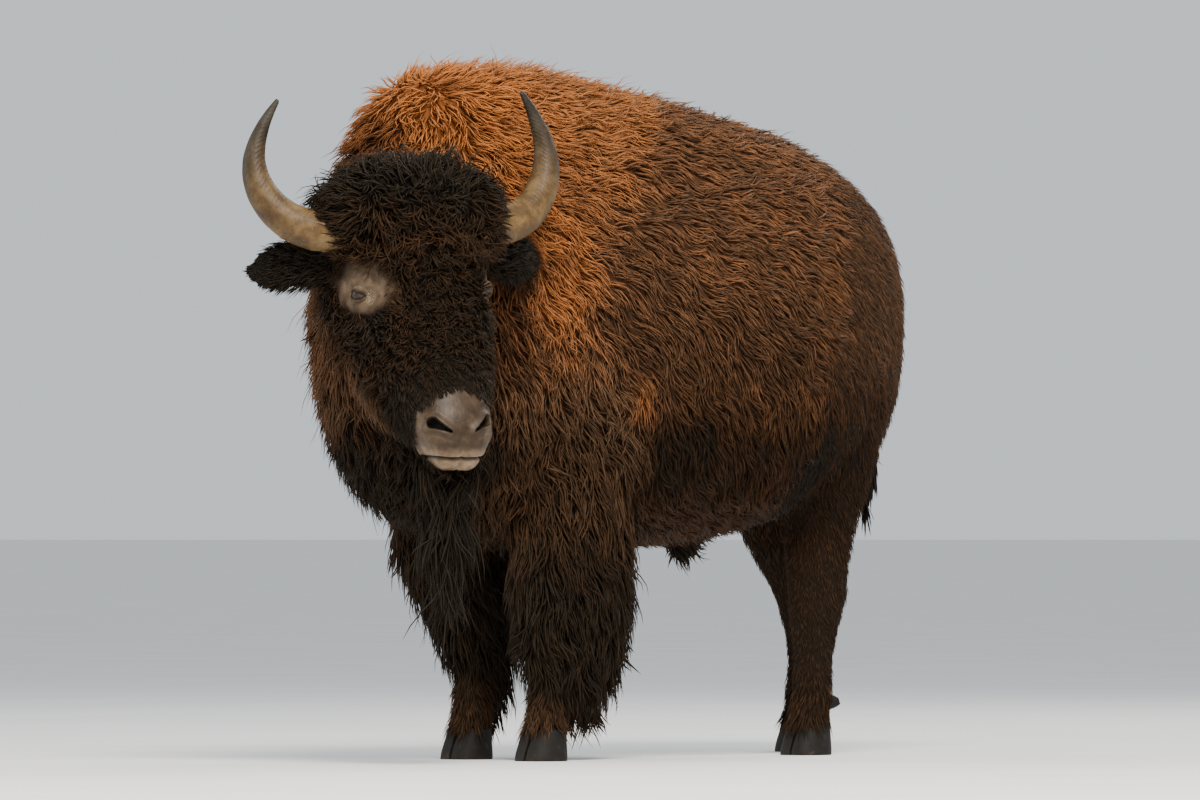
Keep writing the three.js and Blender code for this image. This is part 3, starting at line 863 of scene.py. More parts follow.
def lay_hair():
    """The way the hair lies at each point, before it is laid flat on the skin."""
    x, y, z = outer.T
    hx, hy, hz = place.T
    lie = np.stack([0 * x, mix(0.30, 1.0, ease(z, 0.80, 1.45)), -mix(1.0, 0.62, ease(z, 0.95, 1.50))], 1)
    under = ease(z, 0.68, 0.60)
    lie = mix(lie, np.array((0.0, 1.0, -0.25)), (under * zone.body)[:, None])
    shoulder = np.stack([0 * x, mix(0.20, 0.9, ease(z, 1.0, 1.6)), -mix(1.0, 0.70, ease(z, 1.0, 1.6))], 1)
    breast = ease(y, -0.50, -0.75)
    shoulder = mix(shoulder, np.array((0.0, -0.15, -1.0)), breast[:, None])
    lie = mix(lie, shoulder, zone.cape[:, None])
    lie = mix(lie, np.array((0.0, 0.40, -1.0)), zone.rump[:, None])
    # The face: out from the crown, down the cheeks and away from each eye.
    crown = Head.turned(unit(place - (0.0, 0.03, 0.0)))
    face = mix(crown, Head.turned(np.array((0.0, -1.0, 0.0))), ease(hy, -0.05, -0.2)[:, None])
    face = mix(face, DOWN + Head.turned(np.array((0.0, -0.1, -0.2))), ease(hz, -0.10, -0.20)[:, None])
    nearer = np.where(hx > 0, 1, -1)[:, None] * (1, 0, 0) + np.array((0, 1, 1))
    from_eye = Head.turned(place - Head.eye_at * nearer)
    face = mix(face, unit(from_eye), ease(eye_distance(place), 0.11, 0.07)[:, None])
    lie = mix(lie, face, zone.head[:, None])
    front = ease(hy, 0.12, 0.02) * ease(z, 1.44, 1.36)
    bonnet = mix(crown, np.array((0.0, 0.0, -0.4)), 0.25)
    bonnet = mix(bonnet, Head.turned(np.array((0.0, -1.0, 0.05))), front[:, None])
    lie = mix(lie, bonnet, zone.bonnet[:, None])
    hanging = zone.beard + zone.tail + zone.tuft + zone.shin + zone.forearm
    lie = mix(lie, DOWN, np.clip(hanging, 0, 1)[:, None])
    lie = mix(lie, np.array((0.0, 0.22, -1.0)), zone.chaps[:, None])
    # Round each horn's root the hair runs out along the horn.
    collar = Head.turned(np.stack([np.sign(hx), 0 * hx + 0.1, 0 * hx - 0.15], 1))
    lie = mix(lie, collar, zone.collar[:, None])
    for sign in SIGN.values():
        tip = Head.turned(unit(np.array((sign * 1.0, 0.35, -0.25))))
        here = zone.ear * ((hx > 0) == (sign > 0))
        lie = mix(lie, tip, here[:, None])
    return soft(unit(lie), 4)


# Length, width, lift at the root and at the tip, turn, wave, straying and locks per square metre.
LENGTH, WIDTH, ROOT_LIFT, TIP_LIFT, TURN, WAVE, STRAY, CLOSENESS = range(8)
KINDS = {
    "flank": (0.057, 0.0042, 0.48, 0.03, 0.34, 0.50, 0.22, 10200),
    "cape": (0.070, 0.0044, 0.66, 0.12, 0.48, 0.50, 0.34, 10300),
    "rump": (0.034, 0.0032, 0.42, 0.04, 0.24, 0.30, 0.26, 11800),
    "face": (0.036, 0.0038, 0.90, 0.05, 2.30, 0.50, 0.60, 22000),
    "cheek": (0.064, 0.0042, 0.62, 0.12, 0.60, 0.50, 0.35, 18500),
    "collar": (0.042, 0.0046, 0.50, 0.02, 0.40, 0.40, 0.25, 26000),
    "tear": (0.048, 0.0042, 1.15, 0.45, 0.80, 0.50, 0.40, 26000),
    "nose": (0.024, 0.0030, 0.46, 0.08, 0.35, 0.25, 0.30, 36000),
    "eyelid": (0.014, 0.0026, 0.36, 0.06, 0.30, 0.20, 0.30, 38000),
    "bonnet": (0.068, 0.0046, 0.85, 0.12, 1.20, 0.60, 0.55, 14800),
    "beard": (0.150, 0.0040, 0.34, 0.04, 0.35, 0.45, 0.24, 17500),
    "chaps": (0.084, 0.0047, 0.45, 0.05, 0.35, 0.50, 0.24, 11500),
    "forearm": (0.060, 0.0045, 0.45, 0.05, 0.35, 0.45, 0.24, 10500),
    "shin": (0.024, 0.0031, 0.32, 0.04, 0.16, 0.20, 0.18, 18500),
    "ear": (0.036, 0.0031, 0.62, 0.30, 0.45, 0.40, 0.40, 34000),
    "tail": (0.026, 0.0042, 0.22, 0.04, 0.10, 0.15, 0.12, 18000),
    "tuft": (0.080, 0.0046, 0.05, 0.0, 0.10, 0.15, 0.05, 26000),
}


# The zones whose hair is all of one kind, and so called.
OWN_KIND = ("bonnet", "beard", "chaps", "forearm", "shin", "ear", "tail", "tuft")


def lay_table(swirl):
    """What the locks are like at each point of the skin, a column for each of their measures."""
    z = outer[:, 2]
    hx, hy, hz = place.T
    table = np.repeat(np.array(KINDS["flank"], float)[None], len(z), 0)
    layers = [
        ("cape", zone.cape),
        ("rump", zone.rump),
        ("face", zone.head),
        ("cheek", zone.head * ease(hz, -0.13, -0.22)),
        ("nose", zone.head * ease(hy, -0.24, -0.36)),
    ]
    layers += [(name, getattr(zone, name)) for name in OWN_KIND]
    layers += [("collar", zone.collar), ("tear", 1.4 * zone.tear), ("eyelid", zone.around_eye)]
    for kind, share in layers:
        table = mix(table, np.array(KINDS[kind], float), np.clip(share, 0, 1)[:, None])
    # Longer feathering round the coronets and at the foot of the chaps.
    table[:, LENGTH] += zone.shin * (0.014 * ease(z, 0.24, 0.17) + 0.018 * ease(z, 0.15, 0.11))
    table[:, CLOSENESS] *= 1 + 0.9 * zone.shin * ease(z, 0.17, 0.12)
    # The whorl on the crown stands up and tangles.
    whorl = swirl * np.clip(zone.bonnet + zone.cape + zone.body, 0, 1)
    table[:, LENGTH] *= 1 - 0.45 * whorl
    table[:, ROOT_LIFT] += 0.25 * whorl
    table[:, TIP_LIFT] += 0.25 * whorl
    table[:, STRAY] += 1.5 * whorl
    table[:, CLOSENESS] *= 1 + 0.4 * whorl
    # The ears' hair is shortest at their tips.
    table[:, LENGTH] -= 0.022 * zone.ear * ease(np.abs(hx), 0.29, 0.35)
    # The forehead's curls grow longer up to the bonnet.
    brow = zone.head * ease(hy, -0.12, 0.02) * ease(hz, -0.06, 0.0)
    table[:, LENGTH] += 0.034 * brow
    table[:, ROOT_LIFT] += 0.25 * brow
    table = soft(table, 3)
    # No hair grows on the nose pad, little round the eyes and none on their bare patches.
    table[:, CLOSENESS] *= 1 - ease(zone.pad, 0.35, 0.65)
    table[:, CLOSENESS] *= mix(1.0, 0.45, ease(zone.around_eye, 0.3, 1.0))
    table[:, CLOSENESS] *= 1 - ease(zone.patch, 0.45, 1.0)
    return table


flow = lay_hair()


def unrest():
    """Where the lie of the hair turns quickly, as at whorls and partings, from 0 to 1."""
    normals = unit(spread(normals_of(skin.data), edges, 2))
    flat = unit(flatten(flow, normals))
    return ease(np.linalg.norm(spread(flat, edges, 10), axis=1), 0.93, 0.70)


table = lay_table(unrest())


# ---------------------------------------------------------------- growing the locks


class Field:
    """The triangles of the skin, with everything that a root needs to know there."""

    def __init__(self, mesh):
        mesh.calc_loop_triangles()
        self.corners = rows(mesh.loop_triangles, "vertices", 3, np.int32)
        loops = rows(mesh.loop_triangles, "loops", 3, np.int32)
        self.uv = rows(mesh.uv_layers.active.data, "uv", 2)[loops].astype(float)
        self.points = points_of(mesh)
        self.normals = unit(spread(normals_of(mesh), edges_of(mesh), 2))
        a, b, c = (self.points[self.corners[:, k]] for k in range(3))
        self.area = np.linalg.norm(np.cross(b - a, c - a), axis=1) / 2

    def sow(self, closeness):
        """Evenly spaced roots, as closely as each triangle asks for."""
        weight = self.area * closeness[self.corners].mean(1)
        running = np.cumsum(weight)
        count = int(running[-1])
        at = (np.arange(count) + RNG.random(count)) * running[-1] / count
        face = np.minimum(np.searchsorted(running, at), len(running) - 1)
        r1, r2 = np.sqrt(RNG.random(count)), RNG.random(count)
        share = np.stack([1 - r1, r1 * (1 - r2), r1 * r2], 1)
        return face, share

    def read(self, values, face, share):
        """A value held by the skin's points, at each root."""
        return np.einsum("nk,nkd->nd", share, values[self.corners[face]].reshape(len(face), 3, -1))


field = Field(skin.data)
face_of, share_of = field.sow(table[:, CLOSENESS])


def new_ripple():
    """One wave through space: its way and closeness, and where it starts."""
    way = unit(RNG.normal(size=3)) * 2 * math.pi / RNG.uniform(0.055, 0.14)
    return way, RNG.uniform(0, 6.28)


RIPPLES = [new_ripple() for _ in range(7)]


def ripple(points):
    """The wave that neighbouring locks share, which wanders over the body, from about -1 to 1."""
    return sum(np.sin(points @ way + start) for way, start in RIPPLES) / 2.6


CLUMP = 8  # locks that fall together, on average
ROOT_SINK = 0.003  # a lock starts this far under the skin


def gather():
    """Puts neighbouring roots into clumps, whose locks lie alike and close up towards their tips."""
    spots = field.read(field.points, face_of, share_of)
    heads = spots[RNG.permutation(len(spots))[: len(spots) // CLUMP]]
    tree = KDTree(len(heads))
    for i, head in enumerate(heads):
        tree.insert(head, i)
    tree.balance()
    return heads, np.array([tree.find(spot)[1] for spot in spots])


CLUMP_HEADS, clump_of = gather()
CLUMP_LUCK = RNG.normal(size=(len(CLUMP_HEADS), 3))


CLUMP_REACH = 0.026  # a lock's tip moves no further than this towards its clump's
BAKE_PATCH = 0.003
GIRTH_AT = (0.0, 0.25, 0.5, 0.75, 1.0)
GIRTH = (0.75, 1.0, 0.95, 0.75, 0.45)  # of a lock's width, along it


def lock_faces(rings):
    """One lock's sides as quads, and its tip and the cap at its root as triangles."""
    around = ((0, 1), (1, 2), (2, 0))
    top, tip = (rings - 1) * 3, rings * 3
    quads = [(r + i, r + j, r + 3 + j, r + 3 + i) for r in range(0, top, 3) for i, j in around]
    return quads, [(top + i, top + j, tip) for i, j in around] + [(0, 2, 1)]


def lock_mesh(name, points, rings):
    """The mesh of many locks, from the points of each; also gives the point at each face corner."""
    count, size = points.shape[:2]
    quads, tris = lock_faces(rings)
    one = np.concatenate([np.array(quads).ravel(), np.array(tris).ravel()])
    corner = ((np.arange(count) * size)[:, None] + one).ravel()
    totals = np.tile([4] * len(quads) + [3] * len(tris), count)
    mesh = bpy.data.meshes.new(name)
    mesh.vertices.add(count * size)
    mesh.loops.add(len(corner))
    mesh.polygons.add(len(totals))
    mesh.vertices.foreach_set("co", points.astype(np.float32).ravel())
    mesh.loops.foreach_set("vertex_index", corner.astype(np.int32))
    starts = np.concatenate([[0], np.cumsum(totals)[:-1]])
    mesh.polygons.foreach_set("loop_start", starts.astype(np.int32))
    mesh.update(calc_edges=True)
    return mesh, corner


def draw_locks(name, chosen, rings, weight=0.0, close=0.55, wisps=0.0):
    """One mesh of closed, tapering locks on the chosen roots, each swept along its own curve."""
    face, share = face_of[chosen], share_of[chosen]
    clump = clump_of[chosen]
    lean, curl, tone = CLUMP_LUCK[clump].T
    count = len(face)
    root = field.read(field.points, face, share)
    normal = unit(field.read(field.normals, face, share))
    lie = unit(flatten(field.read(flow, face, share), normal))
    spec = field.read(table, face, share).T

    def chance(spreading=1.0):
        return RNG.normal(0, spreading, count)

    length = spec[LENGTH] * np.clip(1 + chance(0.20), 0.5, 1.7)
    width = spec[WIDTH] * np.clip(1 + chance(0.22), 0.5, 1.7)
    wisp = RNG.random(count) < wisps
    length, width = length * np.where(wisp, 1.45, 1.0), width * np.where(wisp, 0.7, 1.0)
    side = np.cross(normal, lie)
    stray = spec[STRAY] * (0.85 * lean + 0.45 * chance())
    lie = lie * np.cos(stray)[:, None] + side * np.sin(stray)[:, None]
    side = np.cross(normal, lie)
    lift = np.clip(spec[ROOT_LIFT] * (1 + chance(0.25)), 0.05, 1.45)
    droop = spec[TIP_LIFT] + chance(0.08)
    turn = spec[TURN] * (0.85 * curl + 0.45 * chance())
    gap = flatten(CLUMP_HEADS[clump] - root, normal)
    reach = np.clip(CLUMP_REACH / np.maximum(np.linalg.norm(gap, axis=1), 1e-6), 0, 1)
    gap = gap * (close * reach)[:, None]
    wave = spec[WAVE] * (0.6 + 0.5 * RNG.random(count))
    phase = RNG.random(count) * 2 * math.pi
    luck = np.clip(0.5 + 0.20 * tone + 0.16 * chance(), 0, 1)

    # Each ring has three points, and the tip has one. Each keeps its lock's luck, how far along the
    # lock it is, and how far across.
    here = root - normal * ROOT_SINK
    size = rings * 3 + 1
    points, shape = np.empty((count, size, 3)), np.empty((count, size, 3))
    shape[:, :, 0] = luck[:, None]
    for ring in range(rings + 1):
        s = ring / rings
        angle = turn * s + wave * (ripple(here) + 0.45 * np.sin(phase + 5.0 * s))
        tilt = lift * (1 - s) + droop * s
        ahead = np.cos(tilt)[:, None] * (np.cos(angle)[:, None] * lie + np.sin(angle)[:, None] * side)
        ahead = ahead + np.sin(tilt)[:, None] * normal
        ahead = unit(ahead + weight * s * DOWN)
        if ring == rings:
            points[:, -1], shape[:, -1, 1:] = here, (1.0, 0.5)
            break
        flat = unit(np.cross(normal, ahead))
        rise = np.cross(ahead, flat)
        girth = width * np.interp(s, GIRTH_AT, GIRTH)
        base = ring * 3
        points[:, base] = here - flat * (girth / 2)[:, None]
        points[:, base + 1] = here + flat * (girth / 2)[:, None]
        points[:, base + 2] = here + rise * (girth * 0.42)[:, None]
        for k, across in enumerate((0.0, 1.0, 0.5)):
            shape[:, base + k, 1:] = (s, across)
        here = here + ahead * (length / rings)[:, None] + gap / rings

    mesh, corner = lock_mesh(name, points, rings)
    store(mesh, "lock", shape.reshape(-1, 3))
    store(mesh, "markings", np.repeat(field.read(markings, face, share), size, 0))
    bake = np.einsum("nk,nkd->nd", share, field.uv[face])
    patch = bake[:, None] + BAKE_PATCH * (shape[:, :, [2, 1]] - 0.5)
    layer = mesh.uv_layers.new(name="OFBake")
    layer.data.foreach_set("uv", patch.reshape(-1, 2)[corner].astype(np.float32).ravel())
    return link(bpy.data.objects.new(name, mesh))


ORDER = ("body", "neck", "head", *OWN_KIND)


def strongest(*names):
    """True for roots on which one of the named zones is the strongest."""
    stack = np.stack([*(getattr(zone, name) for name in ORDER), zone.rump - zone.body], 1)
    best = field.read(stack, face_of, share_of).argmax(1)
    return np.isin(best, [(*ORDER, "hind").index(name) for name in names])


def most_of(values):
    """True for roots on which a zone reaches a half."""
    return field.read(values[:, None], face_of, share_of)[:, 0] > 0.5


root_points = field.read(field.points, face_of, share_of)
on_cape, on_rump = most_of(zone.cape), most_of(zone.rump)
is_left, face_left = root_points[:, 0] > 0, Head.inside(root_points)[:, 0] > 0
high, belly = root_points[:, 2] > 1.38, root_points[:, 2] < 0.84
torso = strongest("body", "neck")
cape, flank = torso & on_cape, torso & ~on_cape & ~on_rump
hind = (torso & ~on_cape & on_rump) | strongest("hind")
face, fore_leg = strongest("head"), strongest("chaps", "forearm")

# Each piece of the coat: its roots, the rings of each lock, how much the locks hang, how far their
# tips close up into clumps and how many are wisps. The order is the order of the random draws.
COAT = {
    "coat_cape_left": (cape & is_left & ~high, 3, 0.2, 0.55, 0.04),
    "coat_cape_right": (cape & ~is_left & ~high, 3, 0.2, 0.55, 0.04),
    "coat_hump": (cape & high, 3, 0.1, 0.55, 0.05),
    "coat_flank_left": (flank & is_left & ~belly, 3, 0.1, 0.55, 0.04),
    "coat_flank_right": (flank & ~is_left & ~belly, 3, 0.1, 0.55, 0.04),
    "coat_belly": (flank & belly, 2, 0.1),
    "coat_rump_left": (hind & is_left, 2, 0.0, 0.35),
    "coat_rump_right": (hind & ~is_left, 2, 0.0, 0.35),
    "coat_face_left": (face & face_left, 4, 0.1),
    "coat_face_right": (face & ~face_left, 4, 0.1),
    "coat_legs": (strongest("shin", "tail"), 2, 0.0, 0.2),
    "coat_ears": (strongest("ear"), 3, 0.45),
    "coat_bonnet": (strongest("bonnet"), 5, 0.25, 0.55, 0.05),
    "coat_beard": (strongest("beard"), 5, 0.9),
    "coat_chaps_left": (fore_leg & is_left, 4, 0.5),
    "coat_chaps_right": (fore_leg & ~is_left, 4, 0.5),
    "coat_tail": (strongest("tuft"), 5, 0.8),
}
# The masses of long hair, and the node that each replaces.
LONG_HAIR = {
    "coat_bonnet": "forelock",
    "coat_beard": "beard",
    "coat_chaps_left": "chaps_left",
    "coat_chaps_right": "chaps_right",
    "coat_tail": "tail_tuft",
}
coat = {name: draw_locks(name, *how) for name, how in COAT.items()}
for name, piece in coat.items():
    if name in LONG_HAIR:
        attach(piece, "dark_hair", LONG_HAIR[name])
    else:
        attach(piece, "coat")


# ---------------------------------------------------------------- horns, eyes and hooves


ROOT_POINTS = 12  # the points nearest the root, which count as its start


def along_horn(mesh, start):
    """How far each point is from the horn's root, by the shortest way over its surface, from 0 to 1."""
    points = points_of(mesh)
    near = [[] for _ in points]
    for a, b in edges_of(mesh):
        gap = float(np.linalg.norm(points[a] - points[b]))
        near[a].append((b, gap))
        near[b].append((a, gap))
    reach = np.full(len(points), np.inf)
    root = np.linalg.norm(points - start, axis=1)
    queue = [(0.0, int(i)) for i in np.argsort(root)[:ROOT_POINTS]]
    for _, i in queue:
        reach[i] = 0.0
    heapq.heapify(queue)
    while queue:
        far, i = heapq.heappop(queue)
        if far > reach[i]:
            continue
        for j, gap in near[i]:
            if far + gap < reach[j]:
                reach[j] = far + gap
                heapq.heappush(queue, (reach[j], int(j)))
    return reach / reach.max()


RING_HEIGHT, SHEATH_SWELL = 0.0008, 0.0009


def make_horn(side):
    """The horn's sheath, with growth rings that swell near the root and die out towards the tip."""
    horn = copy_of(f"horn_{side}_sheath", [f"horn_{side}"])
    store(horn.data, "reach", along_horn(horn.data, Head.outside(HORN_AXIS)), "FLOAT")
    apply_modifier(horn, "SUBSURF", levels=2, render_levels=2)
    mesh = horn.data
    reach = rows(mesh.attributes["reach"].data, "value", 1)[:, 0]
    points = points_of(mesh)
    rings = np.sin(reach * 70 + 1.5 * np.sin(points[:, 2] * 40)) * ease(reach, 0.55, 0.05)
    swell = RING_HEIGHT * rings + SHEATH_SWELL
    move_points(mesh, points + normals_of(mesh) * swell[:, None])
    attach(horn, "horn", f"horn_{side}")
    return horn


def make_eye(side):
    """The eyeball, turned to look out between the lids, with a cornea that swells over the iris."""
    slit, up, out = eye_axes(SIGN[side])
    centre = Head.outside(eye_centre(SIGN[side]))
    deselect()
    bpy.ops.mesh.primitive_uv_sphere_add(segments=48, ring_count=32, radius=EYE_RADIUS, location=(0, 0, 0))
    eye = bpy.context.object
    eye.name = f"eye_{side}_ball"
    axes = np.stack([Head.turned(slit), Head.turned(up), Head.turned(out)])
    local = points_of(eye.data)
    local[:, 2] += ease(local[:, 2], 0.0135, 0.0175) * CORNEA_SWELL
    store(eye.data, "gaze", local / EYE_RADIUS)
    move_points(eye.data, local @ axes + centre)
    activate(eye)
    bpy.ops.object.mode_set(mode="EDIT")
    bpy.ops.mesh.select_all(action="SELECT")
    bpy.ops.mesh.normals_make_consistent(inside=False)
    bpy.ops.object.mode_set(mode="OBJECT")
    bpy.ops.object.shade_smooth()
    attach(eye, "eye", f"eye_{side}")
    return eye


def make_claw(node):
    """One half of a hoof, or a dewclaw, with rounded edges and a flat sole."""
    claw = copy_of(f"{node}_horn", [node])
    rounding = dict(segments=2, limit_method="ANGLE", angle_limit=math.radians(35))
    apply_modifier(claw, "BEVEL", width=0.004, **rounding)
    apply_modifier(claw, "SUBSURF", levels=1, render_levels=1)
    low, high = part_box(node)
    points = points_of(claw.data)
    height = (points[:, 2] - low.z) / (high.z - low.z)
    points[:, 2] = np.maximum(points[:, 2], low.z)
    store(claw.data, "height", np.clip(height, 0, 1), "FLOAT")
    move_points(claw.data, points)
    bpy.ops.object.shade_smooth_by_angle(angle=math.radians(40))
    attach(claw, "hoof", node)
    return claw


horns = [make_horn(side) for side in SIDES]
eyes = [make_eye(side) for side in SIDES]
claws = [make_claw(node) for node in sorted(NODES) if node.startswith(("hoof", "dewclaw"))]


# ---------------------------------------------------------------- materials


def new_material(name):
    material = bpy.data.materials.new(name)
    material.use_nodes = True
    tree = material.node_tree
    tree.nodes.clear()
    output = tree.nodes.new("ShaderNodeOutputMaterial")
    shader = tree.nodes.new("ShaderNodeBsdfPrincipled")
    tree.links.new(shader.outputs["BSDF"], output.inputs["Surface"])
    return material, tree, shader


def plug(tree, socket, value):
    """Links a socket to another node's output, or sets its own value."""
    if isinstance(value, bpy.types.NodeSocket):
        tree.links.new(value, socket)
    elif socket.type == "RGBA" and len(value) == 3:
        socket.default_value = (*value, 1.0)
    else:
        socket.default_value = value


def node(tree, kind, *, inputs=(), **settings):
    made = tree.nodes.new(kind)
    for key, value in settings.items():
        setattr(made, key, value)
    for key, value in dict(inputs).items():
        plug(tree, made.inputs[key], value)
    return made


def maths(tree, operation, a, b=None, clamp=False):
    inputs = {0: a} if b is None else {0: a, 1: b}
    return node(tree, "ShaderNodeMath", operation=operation, use_clamp=clamp, inputs=inputs).outputs[0]


def times(tree, a, b):
    return maths(tree, "MULTIPLY", a, b)


def swing(tree, value, span):
    """A value around a half, turned into one around nothing."""
    return times(tree, maths(tree, "SUBTRACT", value, 0.5), span)


def blend_colour(tree, share, a, b, kind="MIX"):
    settings = dict(data_type="RGBA", blend_type=kind, clamp_factor=True)
    return node(tree, "ShaderNodeMix", inputs={0: share, 6: a, 7: b}, **settings).outputs[2]


def tint(tree, a, b):
    return blend_colour(tree, 1.0, a, b, "MULTIPLY")


def kept(tree, name, output="Vector"):
    """What the mesh keeps under this name for each point."""
    return node(tree, "ShaderNodeAttribute", attribute_name=name, attribute_type="GEOMETRY").outputs[output]


def split(tree, vector):
    return node(tree, "ShaderNodeSeparateXYZ", inputs={"Vector": vector}).outputs


def own_place(tree):
    return node(tree, "ShaderNodeTexCoord").outputs["Object"]


def noise(tree, where, scale, detail, roughness=0.5):
    inputs = {"Vector": where, "Scale": scale, "Detail": detail, "Roughness": roughness}
    return node(tree, "ShaderNodeTexNoise", inputs=inputs).outputs["Fac"]


def emboss(tree, shader, height, strength, depth):
    inputs = {"Strength": strength, "Distance": depth, "Height": height}
    plug(tree, shader.inputs["Normal"], node(tree, "ShaderNodeBump", inputs=inputs).outputs["Normal"])


def gloss(shader, shine, roughness=None):
    shader.inputs["Specular IOR Level"].default_value = shine
    if roughness is not None:
        shader.inputs["Roughness"].default_value = roughness


def polish(tree, shader, value, low, high):
    """Roughness that runs from low to high with a value."""
    inputs = {"Value": value, "To Min": low, "To Max": high}
    plug(tree, shader.inputs["Roughness"], node(tree, "ShaderNodeMapRange", inputs=inputs).outputs[0])


BLACK, WHITE = (0.0, 0.0, 0.0), (1.0, 1.0, 1.0)


def ramp(tree, value, *stops):
    """Colours at the given places of a value, with a smooth run between them."""
    made = tree.nodes.new("ShaderNodeValToRGB")
    elements = made.color_ramp.elements
    while len(elements) < len(stops):
        elements.new(0.5)
    for element, (position, colour) in zip(elements, stops):
        element.position, element.color = position, (*colour, 1.0)
    tree.links.new(value, made.inputs[0])
    return made.outputs[0]


def new_group(name, inputs, outputs):
    group = bpy.data.node_groups.new(name, "ShaderNodeTree")
    for label, kind, value in inputs:
        socket = group.interface.new_socket(label, in_out="INPUT", socket_type=kind)
        socket.default_value = value
    for label, kind in outputs:
        group.interface.new_socket(label, in_out="OUTPUT", socket_type=kind)
    return group, group.nodes.new("NodeGroupInput").outputs, group.nodes.new("NodeGroupOutput").inputs


def coat_colour_group():
    """The coat's colour from its markings, with every lock a little different, darker at its root as painted
    shade deep in the coat and paler at its tip as a painted highlight.
    """
    group, given, result = new_group(
        "Coat colour",
        [
            ("Markings", "NodeSocketVector", (0.3, 0.3, 0.0)),
            ("Luck", "NodeSocketFloat", 0.5),
            ("Along", "NodeSocketFloat", 0.5),
        ],
        [("Color", "NodeSocketColor")],
    )
    where = own_place(group)
    rusty, darkness, ash = split(group, given["Markings"])
    patches = swing(group, noise(group, where, 7.0, 4.0, 0.6), 0.55)
    grain = swing(group, noise(group, where, 60.0, 3.0), 0.35)
    luck = swing(group, given["Luck"], 0.42)
    shift = maths(group, "ADD", maths(group, "ADD", patches, grain), luck)
    calm = maths(group, "SUBTRACT", 1.0, times(group, darkness, 0.65))
    rust = times(group, maths(group, "ADD", rusty, shift, clamp=True), calm)
    dark = maths(group, "SUBTRACT", darkness, times(group, shift, 0.5), clamp=True)
    warm = ramp(
        group,
        rust,
        (0.0, (0.085, 0.045, 0.025)),
        (0.35, (0.145, 0.070, 0.034)),
        (0.65, (0.26, 0.103, 0.040)),
        (1.0, (0.47, 0.162, 0.042)),
    )
    shade = ramp(
        group,
        dark,
        (0.0, WHITE),
        (0.5, (0.42, 0.39, 0.37)),
        (0.8, (0.17, 0.165, 0.16)),
        (1.0, (0.070, 0.075, 0.080)),
    )
    brown = tint(group, blend_colour(group, ash, warm, (0.15, 0.098, 0.060)), shade)
    black = times(group, ramp(group, dark, (0.52, BLACK), (0.95, WHITE)), 0.85)
    body = blend_colour(group, black, brown, (0.0200, 0.0175, 0.0130))
    # Darker towards the root, a painted shade deep in the coat, and paler towards the tip, a painted
    # highlight.
    tip = ramp(
        group,
        given["Along"],
        (0.0, (0.52, 0.50, 0.48)),
        (0.35, (0.80, 0.79, 0.78)),
        (0.8, (1.08, 1.07, 1.05)),
        (1.0, (1.40, 1.36, 1.28)),
    )
    plug(group, result["Color"], tint(group, body, tip))
    return group


COAT_COLOUR = coat_colour_group()


def coat_colour(tree, luck, along):
    inputs = {"Markings": kept(tree, "markings"), "Luck": luck, "Along": along}
    return node(tree, "ShaderNodeGroup", node_tree=COAT_COLOUR, inputs=inputs).outputs["Color"]


def lock_material():
    """Hair: each lock carries fine strands that run along it."""
    material, tree, shader = new_material("coat locks")
    lock = kept(tree, "lock")
    luck, along, _ = split(tree, lock)
    strands = node(tree, "ShaderNodeMapping", inputs={"Vector": lock, "Scale": (90.0, 1.2, 7.0)})
    hair = noise(tree, strands.outputs["Vector"], 1.0, 2.0)
    streak = ramp(tree, hair, (0.25, (0.62, 0.62, 0.62)), (0.55, WHITE), (0.8, (1.30, 1.28, 1.22)))
    plug(tree, shader.inputs["Base Color"], tint(tree, coat_colour(tree, luck, along), streak))
    emboss(tree, shader, hair, 0.5, 0.0015)
    gloss(shader, 0.10, 0.55)
    shader.inputs["Specular Tint"].default_value = (0.85, 0.55, 0.35, 1.0)
    return material


# The tones of bare leather and of horn, from the dark places to the pale ones.
NOSE_TONES = (0.30, (0.020, 0.0115, 0.0056)), (0.50, (0.036, 0.0215, 0.0112)), (0.72, (0.064, 0.041, 0.0235))
LIP_TONES = (0.30, (0.140, 0.087, 0.048)), (0.50, (0.240, 0.163, 0.098)), (0.72, (0.38, 0.270, 0.175))
EYELID_TONES = (0.30, (0.048, 0.032, 0.020)), (0.55, (0.092, 0.063, 0.040)), (0.75, (0.150, 0.107, 0.069))
HORN_TONES = (0.28, (0.034, 0.017, 0.0048)), (0.48, (0.074, 0.040, 0.0115)), (0.68, (0.155, 0.094, 0.034))
HOOF_TONES = (0.3, (0.004, 0.0035, 0.003)), (0.6, (0.010, 0.008, 0.006)), (0.8, (0.040, 0.030, 0.021))
# The underfur is darkened by this, a painted shade under the locks.
UNDERFUR_SHADE_TINT = (0.43, 0.39, 0.35)


